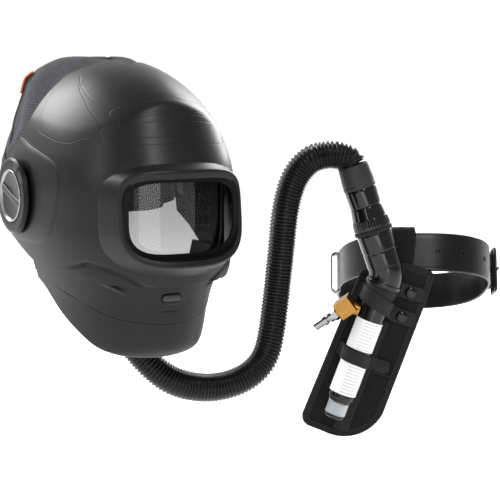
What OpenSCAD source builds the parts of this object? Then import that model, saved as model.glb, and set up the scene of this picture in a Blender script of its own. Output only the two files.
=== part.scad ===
// Welding helmet with a breathing tube and a belt-worn compressed-air regulator.
// Millimetres. +Z is up, the helmet faces -Y, +X is the wearer's left.
// The origin is the middle of the pivot axis, level with the wearer's temples.

/* [Helmet] */
// Half width of the shell at the temples
shell_half_w = 118; // [112:1:124]
// Depth from the pivot axis to the front of the shell
shell_front = 193; // [185:1:200]
// Depth from the pivot axis to the back of the crown
shell_back = 148; // [142:1:152]
// Height of the crown above the middle of the window
crown_h = 174; // [170:1:180]
// Wall of the hard shells
wall_t = 3; // [2.5:0.5:4]
// Half width of the window opening
window_half_w = 69; // [66:0.5:70]

/* [Pivots] */
// Diameter of the hub disc on each side
hub_d = 88; // [80:1:92]
// Diameter of the tension knob
knob_d = 60; // [50:1:64]
// Diameter of the pivot bolt
bolt_d = 8; // [6:1:10]

/* [Breathing tube] */
// Outer diameter of the corrugated hose
hose_d = 36; // [32:1:38]

/* [Regulator] */
// Diameter of the vortex tube
vortex_d = 34; // [30:1:36]
// Diameter of the valve tube above the elbow
valve_d = 43; // [40:1:44]
// Length of the vortex tube below the elbow
vortex_l = 152; // [145:1:160]

/* [Belt] */
// Width of the leather strap
belt_w = 50; // [45:1:50]
// Thickness of the leather strap
belt_t = 3.5; // [3:0.5:4]

/* [Hidden] */

mid_z = -18;                 // height of the point that the shell is drawn around
hose_r = hose_d / 2;
fine = 96;                   // facets on true round surfaces, which stay true curves
run = 0.05;                  // radial clearance of a running fit
bolt_r = bolt_d / 2;
hub_r = hub_d / 2;
sleeve_r = 16;               // sleeve that the weld shield turns on
pod_x = shell_half_w - 3.5;  // inner face of the side pods
hub_x = shell_half_w + 1.5;  // inner face of the hub discs
knob_x = hub_x + 1.8;        // inner face of the tension knobs, set into the hub discs

// The belt set hangs beside the helmet, turned with its face towards the helmet's front right.
set_pos = [350, -67, -115];
set_turn = -30;
upper_tilt = -18;            // lean of the valve tube
lower_tilt = 20;             // lean of the vortex tube
plug_tilt = 53.13;           // lean of the air plug, a 3-4-5 slope
plug_back = 15;              // turn of the air plug back, clear of the hose
bore_r = 17;                 // air way of the valve tube and elbow
valve_r = valve_d / 2;
vortex_r = vortex_d / 2;
bend = lower_tilt - upper_tilt;
elbow_r = 30;
elbow_reach = elbow_r * tan(bend / 2);   // length of the bend along each arm

// Middle line of the breathing tube, from the duct socket to the valve's cuff.
hose_route = [
    [0, 166, -20], [0, 166, -38], [3, 161, -58], [8, 149, -79], [15, 131, -101], [23, 110, -125],
    [32, 87, -150], [41, 64, -175], [52, 44, -199], [67, 28, -221], [87, 18, -238], [113, 12, -248],
    [140, 6, -251], [165, 0, -247], [186, -4, -238], [202, -6, -224], [212, -6, -206],
    [219, -4, -182], [225, -1, -155], [230, 1, -128], [233, 0, -100], [236, -1, -70],
    [238, -3, -42], [242, -5, -18], [248, -8, 3], [257, -13, 19], [268, -20, 30], [280, -26, 34],
    [292, -33, 35], [302, -39, 32], [308.5, -42.6, 28], [311.5, -44.8, 22]];

// ---------- shared shapes ----------

// Two triangles for the four corners of a patch
function patch(a, b, c, d) = [[a, b, c], [a, c, d]];

// Closed solid between an outer and an inner grid of points. ring joins the last row to the
// first, and cap closes the first column with flat faces.
module grid_shell(outer, inner, ring = false, cap = false) {
    n = len(outer);
    m = len(outer[0]);
    rows = ring ? n : n - 1;
    function at(k, i, j) = k * n * m + (i % n) * m + j;
    skins = [for (i = [0:rows - 1], j = [0:m - 2]) each concat(
        patch(at(0, i, j), at(0, i, j + 1), at(0, i + 1, j + 1), at(0, i + 1, j)),
        patch(at(1, i, j), at(1, i + 1, j), at(1, i + 1, j + 1), at(1, i, j + 1)))];
    last_edge = [for (i = [0:rows - 1]) each
        patch(at(0, i, m - 1), at(1, i, m - 1), at(1, i + 1, m - 1), at(0, i + 1, m - 1))];
    first_edge = cap
        ? [[for (i = [0:n - 1]) at(0, i, 0)], [for (i = [n - 1:-1:0]) at(1, i, 0)]]
        : [for (i = [0:rows - 1]) each
            patch(at(0, i, 0), at(0, i + 1, 0), at(1, i + 1, 0), at(1, i, 0))];
    ends = ring ? [] : [for (j = [0:m - 2]) each concat(
        patch(at(0, 0, j), at(1, 0, j), at(1, 0, j + 1), at(0, 0, j + 1)),
        patch(at(0, n - 1, j), at(0, n - 1, j + 1), at(1, n - 1, j + 1), at(1, n - 1, j)))];
    polyhedron([for (g = [outer, inner]) each [for (r = g) each r]],
        concat(skins, last_edge, first_edge, ends), convexity = 8);
}

// Tube with a round bore, standing on z0
module pipe(z0, h, r_out, r_in, r_top = 0) {
    translate([0, 0, z0]) difference() {
        cylinder(h = h, r1 = r_out, r2 = r_top > 0 ? r_top : r_out, $fn = fine);
        translate([0, 0, -1]) cylinder(h = h + 2, r = r_in, $fn = fine);
    }
}

// Lays a piece drawn upward in +Z along the pivot axis, side 1 on the left and -1 on the right
module along_pivot(side) {
    mirror([side < 0 ? 1 : 0, 0, 0]) rotate([0, 90, 0]) children();
}

module both_sides() {
    for (side = [-1, 1]) along_pivot(side) children();
}

module on_set() {
    translate(set_pos) rotate([0, 0, set_turn]) children();
}

module upper_arm() {
    on_set() rotate([0, upper_tilt, 0]) children();
}

module lower_arm() {
    on_set() rotate([0, lower_tilt, 0]) children();
}

// ---------- helmet shell surface ----------

dome_half_w = shell_half_w + 7;
dome_front = 222;
brow_z = 30;        // the wall leans back above this height
brow_lean = 0.234;  // lean per 100 mm
cheek_z = -55;      // the wall draws in below this height
cheek_lean = 0.22;
wall_power = 2.4;

function unit_dir(alpha, psi) = [sin(alpha) * cos(psi), -cos(alpha), sin(alpha) * sin(psi)];

function dome_r(d) =
    let (b = d.y < 0 ? dome_front : shell_back - 3)
    1 / norm([d.x / dome_half_w, d.y / b, d.z / (d.z > 0 ? crown_h : 190)]);

function wall_r(d) =
    let (k = pow(pow(abs(d.x) / shell_half_w, wall_power)
        + pow(abs(d.y) / (d.y < 0 ? shell_front : shell_back), wall_power), 1 / wall_power) + 0.0001)
    min(1 / k,
        (1 + brow_lean * (brow_z - mid_z) / 100) / (k + brow_lean * max(d.z, 0) / 100),
        (1 + cheek_lean * (mid_z - cheek_z) / 100) / (k - cheek_lean * min(d.z, 0) / 100));

// Point of the shell along a direction, moved out by off
function shell_point(d, off = 0) = [0, 0, mid_z] + d * (min(dome_r(d), wall_r(d)) + off);

// Rounded window outline at an angle: half width a, height above and below its middle
function loop_xz(t, a, up, down) =
    let (b = sin(t) > 0 ? up : down, n = sin(t) > 0 ? 5 : 3.2)
    pow(pow(abs(cos(t)) / a, n) + pow(abs(sin(t)) / b, n), -1 / n) * [cos(t), sin(t)];

window_z = -15;     // height of the window's middle

function rim_y(p) = -(200 - 0.0033 * p.x * p.x - 0.1 * p.y);

// Point of a window outline, set back from the rim's front face
function rim_point(t, a, up, down, back) =
    let (p = loop_xz(t, a, up, down))
    [p.x, rim_y(p) + back, p.y + window_z];

// Direction from the shell's middle to a window outline
function loop_dir(t, a, up, down, y) =
    let (p = loop_xz(t, a, up, down), v = [p.x, -y, p.y + window_z - mid_z])
    v / norm(v);

// Angle of a direction round the window, from the top down to either side
function turn_from_top(d) = let (psi = atan2(d.z, abs(d.x))) 90 - psi;

// Direction part of the way from a window outline to the edge of a shell
function edge_dir(d, edge, s) =
    let (a0 = acos(-d.y), a1 = lookup(turn_from_top(d), edge), psi = atan2(d.z, d.x))
    unit_dir(a0 + (a1 - a0) * s, psi);

shell_steps = 80;
shell_cols = 11;

// Edge of the weld shield: turn from the top against the angle from straight ahead
shield_edge = [[0, 70], [11, 79], [19, 86], [31, 88], [44, 90], [57, 98], [64, 106], [68, 64],
    [91, 62], [96, 105], [99, 107], [104, 99], [109, 89], [113, 82], [116, 75], [118, 60], [120, 54],
    [124, 48.5], [128, 42.5], [136, 36], [140, 32], [162, 26], [180, 24.5]];

// Edge of the inner frame, hidden under the shield
frame_edge = [[0, 58], [30, 72], [58, 84], [66, 62], [90, 60], [108, 58], [114, 50], [119, 43],
    [133, 30], [155, 24], [180, 22.5]];

module weld_shield() {
    function col(i, inside) =
        let (t = i * 360 / shell_steps, d = loop_dir(t, 103, 58, 67, 185), w = inside ? wall_t : 0)
        concat(
            [rim_point(t, window_half_w + w, 42 + w, 45 + w, 14),
             rim_point(t, window_half_w + w, 42 + w, 45 + w, 2 + 1.5 * w),
             rim_point(t, 74.5 - 0.75 * w, 51 - 0.75 * w, 52 - 0.75 * w, 1.2 * w)],
            [for (j = [0:shell_cols - 1])
                shell_point(edge_dir(d, shield_edge, j / (shell_cols - 1)), -w)]);
    color("#2b2c2e") grid_shell(
        [for (i = [0:shell_steps - 1]) col(i, false)],
        [for (i = [0:shell_steps - 1]) col(i, true)], ring = true);
}

// Side pod: flat panel that carries the shield round its hub
module shield_pod(side) {
    color("#232425") along_pivot(side) translate([0, 0, pod_x]) difference() {
        linear_extrude(3.5) mirror([1, 0, 0])
            polygon([[-46, -60], [-54, -36], [-54, -5], [-47, 17], [-36, 36], [-26, 47], [40, 44],
                [54, 22], [54, -14], [46, -60]]);
        translate([0, 0, -1]) cylinder(h = 6, r = sleeve_r, $fn = fine);
    }
}

module shield_pod_right() { shield_pod(-1); }

module shield_pod_left() { shield_pod(1); }

// Frame that a filter clips into, behind the window opening
module filter_frame() {
    color("#1a1a1b") translate([0, -178, window_z]) rotate([90, 0, 0]) difference() {
        linear_extrude(4) polygon([for (i = [0:71]) loop_xz(i * 5, window_half_w + 1, 45, 47)]);
        translate([0, 0, -1]) linear_extrude(6) polygon([for (i = [0:71]) loop_xz(i * 5, window_half_w - 5, 38, 40)]);
    }
}

// ---------- inner frame, visor, chin ----------

frame_gap = 13;     // the inner frame lies this far inside the shield's outer surface

module inner_frame() {
    function col(i, w) =
        let (t = i * 360 / 64, d = loop_dir(t, 92, 66, 58, 176))
        [for (j = [0:7]) shell_point(edge_dir(d, frame_edge, j / 7), -frame_gap - w)];
    color("#1d1e1f") grid_shell([for (i = [0:63]) col(i, 0)], [for (i = [0:63]) col(i, wall_t)],
        ring = true);
}

// Plate that joins the inner frame to the pivot
module side_plate(side) {
    color("#1d1e1f") along_pivot(side) translate([0, 0, 103]) difference() {
        linear_extrude(3) mirror([1, 0, 0])
            polygon([[-40, -52], [-44, 0], [-30, 30], [0, 36], [40, 20], [50, -20], [44, -52]]);
        translate([0, 0, -1]) cylinder(h = 6, r = bolt_r + run, $fn = fine);
    }
}

module side_plate_right() { side_plate(-1); }

module side_plate_left() { side_plate(1); }

// Curved sheet: plan curve y = -(front - k x^2), between two heights
module curved_sheet(half_w, z_low, z_high, front, k, thick) {
    function row(i, back) =
        let (x = half_w * (2 * i / 24 - 1))
        [for (z = [z_high, z_low]) [x, -(front - k * x * x) + back, z]];
    grid_shell([for (i = [0:24]) row(i, 0)], [for (i = [0:24]) row(i, thick)]);
}

visor_bow = 0.0065;

module clear_visor() {
    color([0.8, 0.85, 0.9, 0.35]) curved_sheet(78, -72, 44, 168, visor_bow, 1.5);
}

// Soft seal round the back of the clear visor
module visor_seal() {
    function spot(t, grow, back) =
        let (p = loop_xz(t, 70 + grow, 50 + grow, 50 + grow))
        [p.x, -(166.2 - visor_bow * p.x * p.x) + back, p.y - 14];
    color("#202020") grid_shell(
        [for (i = [0:59]) [for (grow = [0, 7]) spot(i * 6, grow, 0)]],
        [for (i = [0:59]) [for (grow = [0, 7]) spot(i * 6, grow, 4)]], ring = true);
}

chin_scale = [[-180, 0.64], [-174, 0.69], [-165, 0.725], [-150, 0.75], [-113, 0.79], [-90, 0.84],
    [-62, 0.90]];

// Point of the chin and throat surface at a plan angle from straight ahead
function chin_point(phi, z, off) =
    let (s = lookup(z, chin_scale), e = 2 / wall_power)
    [sign(phi) * (s * shell_half_w + off) * pow(abs(sin(phi)), e),
     -sign(cos(phi)) * (s * shell_front + off) * pow(abs(cos(phi)), e), z];

// Heights round the chin: where the bar meets the bib, and the bib's lower edge
seam_z = function(phi) lookup(abs(phi), [[0, -137], [20, -133], [34, -128.5], [46, -121.5], [61, -109.5],
    [77, -98], [84, -89], [88, -82.5]]);
bib_z = function(phi) lookup(abs(phi), [[0, -178], [30, -174], [46, -167], [54, -159], [62, -148],
    [70, -137], [78, -122], [86, -99], [88, -88]]);

module chin_band(top, bottom, cols, out, thick) {
    function row(phi, w) = [for (j = [0:cols])
        chin_point(phi, top(phi) + (bottom(phi) - top(phi)) * j / cols, out - w)];
    grid_shell([for (i = [0:40]) row(-88 + i * 4.4, 0)], [for (i = [0:40]) row(-88 + i * 4.4, thick)]);
}

module chin_bar() {
    color("#26272a") difference() {
        chin_band(function(phi) -62, seam_z, 4, 0, wall_t);
        translate([0, -150, latch_z]) cube([23, 40, 8.6], center = true);
    }
}

module throat_bib() {
    color("#222325") chin_band(seam_z, bib_z, 5, -0.6, 2.2);
}

latch_z = -106.5;
latch_y = -shell_front * 0.804;

// Pill-shaped latch button in the chin bar
module chin_latch() {
    color("#3a3b3d") translate([0, latch_y, latch_z]) rotate([90, 0, 0]) {
        linear_extrude(6, center = true) union() {
            square([14, 7.6], center = true);
            for (x = [-7, 7]) translate([x, 0]) circle(r = 3.8, $fn = 48);
        }
        translate([0, 0, -6]) cylinder(h = 4, r = 3, $fn = 48);
    }
}

// ---------- pivots ----------

module hub() {
    pipe(hub_x, 1.5, hub_r, knob_d / 2 - 18);
    pipe(hub_x + 1.5, 4.5, hub_r, knob_d / 2 + 0.6);
    pipe(106, hub_x - 106, sleeve_r - run, bolt_r + run);
}

module hub_right() { color("#17181a") along_pivot(-1) hub(); }

module hub_left() { color("#17181a") along_pivot(1) hub(); }

module pivot_bolts() {
    color("#b9bbbe") both_sides() {
        translate([0, 0, 96]) cylinder(h = knob_x + 1.4 - 96, r = bolt_r, $fn = fine);
        translate([0, 0, 92]) cylinder(h = 4, r = 8, $fn = 6);
    }
}

// Dished knob with a grip bar across it
module tension_knob() {
    color("#a7a9ac") {
        pipe(knob_x, 2, knob_d / 2, bolt_r + run);
        pipe(knob_x + 2, 3.4, knob_d / 2, knob_d / 2 - 3);
        rotate([0, 0, -70]) translate([-knob_d / 2 + 1.5, -3.5, knob_x + 1.5])
            cube([knob_d - 3, 7, 3.9]);
    }
}

module knob_right() { along_pivot(-1) tension_knob(); }

module knob_left() { along_pivot(1) tension_knob(); }

// ---------- fabric cover, duct and hose ----------

cover_edge = [[0, 100], [50, 97], [70, 88], [90, 74], [115, 56], [140, 40], [180, 24]];

// The fabric lies close over the brow and hangs fuller and squarer behind
cover_fullness = [[-0.1, 2], [0.15, 2.7]];
cover_height = [[-0.1, crown_h - 5], [0.15, crown_h - 2]];

function cover_r(d) =
    let (rear = d.y - 0.5 * abs(d.x), p = lookup(rear, cover_fullness),
        b = d.y < 0 ? dome_front - 14 : shell_back - 2)
    pow(pow(abs(d.x) / (dome_half_w - 11), p) + pow(abs(d.y) / b, p)
        + pow(abs(d.z) / lookup(rear, cover_height), p), -1 / p);

module head_cover() {
    steps = 44;
    // Fabric at a turn about +Z and a share of the way from the crown to the hem
    function spot(i, j, w) =
        let (az = i * 360 / steps, th = 4 + (lookup(abs(az - 180), cover_edge) - 4) * j / 9,
            d = [sin(th) * sin(az), -sin(th) * cos(az), cos(th)], p = d * (cover_r(d) - w))
        [p.x, p.y, mid_z + (j == 0 ? crown_h - 5 - w : p.z)];
    color("#55575b") grid_shell(
        [for (i = [0:steps - 1]) [for (j = [0:9]) spot(i, j, 0)]],
        [for (i = [0:steps - 1]) [for (j = [0:9]) spot(i, j, 2)]], ring = true, cap = true);
}

// Pull tab on the back of the cover
module pull_tab() {
    color("#f08a5c") translate([-74, 66.5, 122.5]) rotate([0, 47, 156]) hull() {
        for (x = [-6, 6]) translate([x, 0, 0]) cylinder(h = 3.5, r = 6, center = true, $fn = 24);
    }
}

module air_duct() {
    color("#0c0c0d") difference() {
        union() {
            hull() {
                for (x = [-34, 34], y = [136, 140]) translate([x, y, 64])
                    cylinder(h = 46, r = 11, $fn = 32);
            }
            hull() {
                translate([0, 148, 64]) cylinder(h = 14, r = 13, $fn = 32);
                translate([0, 166, 26]) cylinder(h = 6, r = 21, $fn = 32);
            }
        }
        translate([0, 166, 20]) cylinder(h = 20, r = 15, $fn = 32);
    }
}

module duct_socket() {
    color("#151516") translate([0, 166, 0]) pipe(4, 22, 20, 15);
}

module hose_cuff_helmet() {
    color("#8d8f92") translate([0, 166, 0]) pipe(-20, 24, 21, 14);
}

module breathing_hose() {
    sides = 12;
    count = len(hose_route);
    function tangent(i) =
        i == 0 ? [0, 0, -1]
        : i == count - 1 ? (hose_route[i] - hose_route[i - 1]) / norm(hose_route[i] - hose_route[i - 1])
        : (hose_route[i + 1] - hose_route[i - 1]) / norm(hose_route[i + 1] - hose_route[i - 1]);
    // Sideways direction carried from ring to ring without twist
    function carried(i) =
        i == 0 ? [1, 0, 0]
        : let (t = tangent(i), u = carried(i - 1), v = u - (u * t) * t) v / norm(v);
    function ring_points(i) =
        let (t = tangent(i), u = carried(i), v = cross(t, u))
        [for (k = [0:sides - 1]) hose_route[i] + hose_r * (cos(k * 30) * u + sin(k * 30) * v)];
    points = [for (i = [0:count - 1]) each ring_points(i)];
    walls = [for (i = [0:count - 2], k = [0:sides - 1])
        each patch(i * sides + k, (i + 1) * sides + k,
            (i + 1) * sides + (k + 1) % sides, i * sides + (k + 1) % sides)];
    color("#101012") polyhedron(points, concat(walls,
        [[for (k = [0:sides - 1]) k]],
        [[for (k = [sides - 1:-1:0]) (count - 1) * sides + k]]), convexity = 8);
}

// ---------- headgear ----------

// The headband sits lower at the rear
module on_head() {
    rotate([-10, 0, 0]) children();
}

function head_oval(t, grow) = [(78 + grow) * cos(t), 6 + (98 + grow) * sin(t)];

module band_arc(t0, t1, z0, h, grow, thick) {
    steps = 36;
    translate([0, 0, z0]) linear_extrude(h) polygon(concat(
        [for (i = [0:steps]) head_oval(t0 + (t1 - t0) * i / steps, grow)],
        [for (i = [steps:-1:0]) head_oval(t0 + (t1 - t0) * i / steps, grow + thick)]));
}

module headband() {
    color("#2e2f33") on_head() difference() {
        band_arc(-262, 82, 36, 24, 0, 2.4);
        for (side = [-1, 1]) translate([side * 78, 6, 48]) rotate([0, 90, 0])
            cylinder(h = 20, r = 2.5, center = true, $fn = 48);
    }
}

// Arms that hang the headband on the pivot bolts
module pivot_arms() {
    color("#3a3b40") both_sides() difference() {
        union() {
            translate([0, 0, 97]) cylinder(h = 3, r = 13, $fn = fine);
            translate([-55, -9, 97]) cube([48, 18, 3]);
            translate([-55, -9, 82.4]) cube([4, 18, 15.2]);
        }
        translate([0, 0, 90]) cylinder(h = 20, r = bolt_r + run, $fn = fine);
    }
}

module crown_straps() {
    color("#2e2f33") on_head() for (s = [-1, 1]) translate([0, 6 + 22 * s, 48])
        rotate([90 - 20 * s, 0, 0]) translate([0, 0, -10]) rotate_extrude(angle = 180, $fn = fine)
            translate([80.4, 0]) square([2, 20]);
}

module brow_pad() {
    color("#46484d") on_head() band_arc(-135, -45, 34, 28, -7, 6.6);
}

module rear_pad() {
    color("#46484d") on_head() band_arc(50, 130, 34, 28, -6, 5.6);
}

module ratchet_housing() {
    color("#202124") on_head() translate([0, 0, 48]) difference() {
        translate([-32, 106.4, -17]) cube([64, 10.6, 34]);
        translate([0, 100, 0]) rotate([-90, 0, 0]) cylinder(h = 30, r = 5 + run, $fn = fine);
        translate([0, 104, 0]) rotate([-90, 0, 0]) cylinder(h = 9, r = 9, $fn = fine);
    }
}

module ratchet_knob() {
    color("#17181a") on_head() translate([0, 117.4, 48]) rotate([-90, 0, 0]) {
        difference() {
            cylinder(h = 10, r = 16, $fn = fine);
            for (i = [0:11]) rotate(i * 30) translate([17.5, 0, -1]) cylinder(h = 12, r = 2.6, $fn = 24);
        }
        translate([0, 0, -4.5]) cylinder(h = 4.5, r = 5, $fn = fine);
    }
}

module ratchet_pinion() {
    color("#b9bbbe") on_head() translate([0, 108, 48]) rotate([-90, 0, 0]) linear_extrude(4.9)
        polygon([for (i = [0:47]) (i % 4 < 2 ? 8.2 : 6.2) * [cos(i * 7.5), sin(i * 7.5)]]);
}

// ---------- regulator ----------

module hose_cuff_valve() {
    color("#77797c") upper_arm() pipe(114, 30, 20.6, 14, 19);
}

module connector_tube() {
    color("#1a1a1c") upper_arm() {
        pipe(61, 30, 16 - run, 13);
        pipe(90.6, 23.4, 19.2, 13, 20.2);
    }
}

module coupling_collar() {
    color("#1a1a1c") upper_arm() pipe(61.3, 29, 23.6, 16, 19.6);
}

module tube_ring() {
    color("#0c0c0d") upper_arm() pipe(56, 5, 24.2, 13);
}

module valve_tube() {
    color("#1a1a1c") upper_arm() pipe(elbow_reach, 56 - elbow_reach, valve_r, bore_r, valve_r + 0.7);
}

// Bend between the two arms, its middle line an arc of elbow_r
module elbow() {
    color("#1a1a1c") on_set() rotate([0, (lower_tilt + upper_tilt) / 2, 0])
        translate([-elbow_r / cos(bend / 2), 0, 0]) rotate([90, 0, 0]) rotate(-bend / 2)
            rotate_extrude(angle = bend, $fn = fine) translate([elbow_r, 0]) difference() {
                circle(r = valve_r, $fn = fine);
                circle(r = bore_r, $fn = fine);
            }
}

module elbow_ring() {
    color("#0c0c0d") lower_arm() pipe(-elbow_reach - 6, 6, 23, 12);
}

vortex_end = -elbow_reach - 6 - vortex_l;

module vortex_tube() {
    color("#111112") lower_arm() difference() {
        pipe(vortex_end, vortex_l, vortex_r, 12);
        translate([0, 0, -55]) rotate([0, -90, 0]) cylinder(h = 30, r = 4, $fn = fine);
    }
}

// Two blank white labels wrapped round the vortex tube
module label_sleeves() {
    color("#e9eaec") lower_arm() {
        pipe(-161, 41, vortex_r + 0.5, vortex_r);
        pipe(-101, 39, vortex_r + 0.5, vortex_r);
    }
}

module vortex_generator() {
    color("#c9a85a") lower_arm() pipe(-46, 14, 12, 5);
}

module end_plug() {
    color("#0c0c0d") lower_arm() {
        pipe(vortex_end, 10, 12, bolt_r + run);
        pipe(vortex_end - 4, 4, 15.2, bolt_r + run);
    }
}

module valve_stem() {
    color("#c6c8cb") lower_arm() {
        translate([0, 0, vortex_end - 20]) cylinder(h = 32, r = bolt_r, $fn = fine);
        translate([0, 0, vortex_end + 12]) cylinder(h = 9, r1 = bolt_r, r2 = 1, $fn = fine);
    }
}

module control_knob() {
    color("#b4b6b9") lower_arm() difference() {
        pipe(vortex_end - 22, 17.6, 13.2, bolt_r);
        for (i = [0:17]) rotate(i * 20) translate([13.9, 0, vortex_end - 23])
            cylinder(h = 16, r = 1.2, $fn = 16);
    }
}

module knob_cap() {
    color("#0c0c0d") lower_arm() translate([0, 0, vortex_end - 26]) cylinder(h = 4, r = 13.4, $fn = fine);
}

inlet = [-34, 0, -55];       // middle of the brass fitting, beside the vortex tube

module brass_fitting() {
    color("#d9b45c") {
        lower_arm() translate(inlet + [16.6, 0, 0]) rotate([0, -90, 0]) difference() {
            cylinder(h = 8, r = 8, $fn = fine);
            translate([0, 0, -1]) cylinder(h = 8, r = 4, $fn = fine);
        }
        on_inlet() translate([-11, -11, -12]) cube([22, 22, 22]);
        on_inlet() translate([0, 0, -15]) cylinder(h = 3, r = 8, $fn = fine);
    }
}

// Frame of the air inlet, with the plug pointing along -Z
module on_inlet() {
    lower_arm() translate(inlet) rotate([0, plug_tilt - lower_tilt, 0]) rotate([plug_back, 0, 0]) children();
}

module air_plug() {
    color("#c6c8cb") on_inlet() {
        translate([0, 0, -21]) cylinder(h = 6, r = 9.5, $fn = 6);
        translate([0, 0, -27]) cylinder(h = 6, r = 7.5, $fn = fine);
        translate([0, 0, -31]) cylinder(h = 4, r = 5, $fn = fine);
        translate([0, 0, -36]) cylinder(h = 5, r = 7, $fn = fine);
        translate([0, 0, -50]) cylinder(h = 14, r = 5.5, $fn = fine);
    }
}

// ---------- holster ----------

holster_y = 23.1;

module holster_outline(grow = 0) {
    offset(delta = grow) hull() {
        translate([-22, -207]) circle(r = 14, $fn = 32);
        translate([6, -166]) circle(r = 56, $fn = 64);
        translate([-30, -18]) square([92, 10]);
        translate([20, 12]) square([40, 8]);
    }
}

module holster_plate(y0, thick) {
    lower_arm() translate([0, y0 + thick, 0]) rotate([90, 0, 0]) linear_extrude(thick) children();
}

module holster_panel() {
    color("#1b1b1d") holster_plate(holster_y, 4) holster_outline(-10);
}

module holster_binding() {
    color("#111112") holster_plate(holster_y - 1, 5.5) difference() {
        holster_outline();
        holster_outline(-10);
    }
}

// Fabric loop on the back of the holster that the belt runs through
module belt_loop() {
    color("#161617") on_set() translate([8, 0, 0]) difference() {
        translate([0, 25.2, -26]) cube([28, 33, 92]);
        translate([-1, 27.7, -8]) cube([30, 28, 66]);
        translate([-1, 31, -27]) cube([30, 30, 19]);
    }
}

// Half ring round the front of the vortex tube, with tabs down to the panel
module tube_strap(z0, h, r, tab) {
    translate([0, 0, z0]) {
        rotate(180) rotate_extrude(angle = 180, $fn = fine) translate([r, 0]) square([1.8, h]);
        for (x = [-r - 1.8, r]) translate([x, 0, 0]) cube([1.8, holster_y - 1.2, h]);
        translate([r + 1.8, holster_y - 3, 0]) cube([tab, 1.8, h]);
    }
}

module hold_straps() {
    color("#202022") lower_arm() {
        tube_strap(-45, 24, vortex_r + 1, 2);
        for (z = [-57, -24]) translate([vortex_r + 2.8, holster_y - 3, z]) cube([38, 1.8, 20]);
        tube_strap(-119, 16, vortex_r + 1, 30);
    }
}

module strap_snaps() {
    color("#0a0a0b") lower_arm() for (z = [-47, -14]) translate([39, holster_y - 3, z])
        rotate([90, 0, 0]) cylinder(h = 4, r1 = 7.5, r2 = 5.5, $fn = fine);
}

// ---------- belt ----------

belt_mid = [48, 36, 24];     // middle of the strap where it passes behind the regulator
belt_slope = -19;            // the loop droops to the rear
belt_half = [102, 140];      // half size of the loop in plan

module on_belt() {
    on_set() translate(belt_mid) rotate([belt_slope, 0, 0]) translate([0, belt_half.y, 0]) children();
}

function belt_oval(t, inset) =
    let (a = belt_half.x - inset, b = belt_half.y - inset, e = 2 / 2.6)
    [a * sign(cos(t)) * pow(abs(cos(t)), e), b * sign(sin(t)) * pow(abs(sin(t)), e)];

module waist_belt() {
    color("#1e1e20") on_belt() difference() {
        translate([0, 0, -belt_w / 2]) linear_extrude(belt_w) difference() {
            polygon([for (i = [0:71]) belt_oval(i * 5, 0)]);
            polygon([for (i = [0:71]) belt_oval(i * 5, belt_t)]);
        }
        for (x = [20, 53, 84]) translate([x, -belt_half.y - 5, 0]) rotate([-90, 0, 0])
            cylinder(h = 60, r = 3, $fn = fine);
    }
}

module belt_keeper() {
    color("#161617") on_belt() translate([-belt_half.x - 1.6, -10, 0]) rotate([-90, 0, 0])
        linear_extrude(20) difference() {
            pill(14, belt_w + 5);
            pill(10.6, belt_w + 1.6);
        }
}

// Flat oval: width, height
module pill(w, h) {
    for (s = [-1, 1]) translate([0, s * (h - w) / 2]) circle(d = w, $fn = 48);
    square([w, h - w], center = true);
}

bar_x = 6.75;                // buckle's middle bar, outward from the strap

// Places a buckle piece, with the middle bar along Z through the origin
module on_buckle() {
    on_belt() translate([belt_half.x + bar_x, -10, 0]) children();
}

module buckle_frame() {
    color("#2a2a2c") on_buckle() {
        difference() {
            translate([-1.75, -22, -31]) cube([3.5, 44, 62]);
            translate([-3, -18, -27]) cube([6, 36, 54]);
        }
        translate([0, 0, -28]) cylinder(h = 56, r = 2, $fn = fine);
    }
}

// End of the strap, folded round the buckle's middle bar
module buckle_fold() {
    color("#1e1e20") on_buckle() difference() {
        for (z = [-23, 4.5]) translate([0, 0, z]) {
            cylinder(h = 18.5, r = 4, $fn = fine);
            translate([-bar_x + 0.1, -1, 0]) cube([bar_x, 3, 18.5]);
        }
        translate([0, 0, -30]) cylinder(h = 60, r = 2, $fn = fine);
    }
}

module buckle_prong() {
    color("#2a2a2c") on_buckle() difference() {
        union() {
            translate([0, 0, -3.5]) cylinder(h = 7, r = 3.8, $fn = fine);
            translate([3.6, 0, 0]) rotate([90, 0, 0]) cylinder(h = 25, r = 1.6, $fn = 48);
        }
        translate([0, 0, -5]) cylinder(h = 10, r = 2 + run, $fn = fine);
    }
}

weld_shield();
shield_pod_right();
shield_pod_left();
filter_frame();
inner_frame();
side_plate_right();
side_plate_left();
clear_visor();
visor_seal();
chin_bar();
throat_bib();
chin_latch();
hub_right();
hub_left();
pivot_bolts();
knob_right();
knob_left();
head_cover();
pull_tab();
air_duct();
duct_socket();
hose_cuff_helmet();
breathing_hose();
hose_cuff_valve();
headband();
pivot_arms();
crown_straps();
brow_pad();
rear_pad();
ratchet_housing();
ratchet_knob();
ratchet_pinion();
connector_tube();
coupling_collar();
tube_ring();
valve_tube();
elbow();
elbow_ring();
vortex_tube();
label_sleeves();
vortex_generator();
end_plug();
valve_stem();
control_knob();
knob_cap();
brass_fitting();
air_plug();
holster_panel();
holster_binding();
belt_loop();
hold_straps();
strap_snaps();
waist_belt();
belt_keeper();
buckle_frame();
buckle_fold();
buckle_prong();
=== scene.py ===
import math

import bpy
import numpy as np
from mathutils import Matrix, Vector

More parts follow.
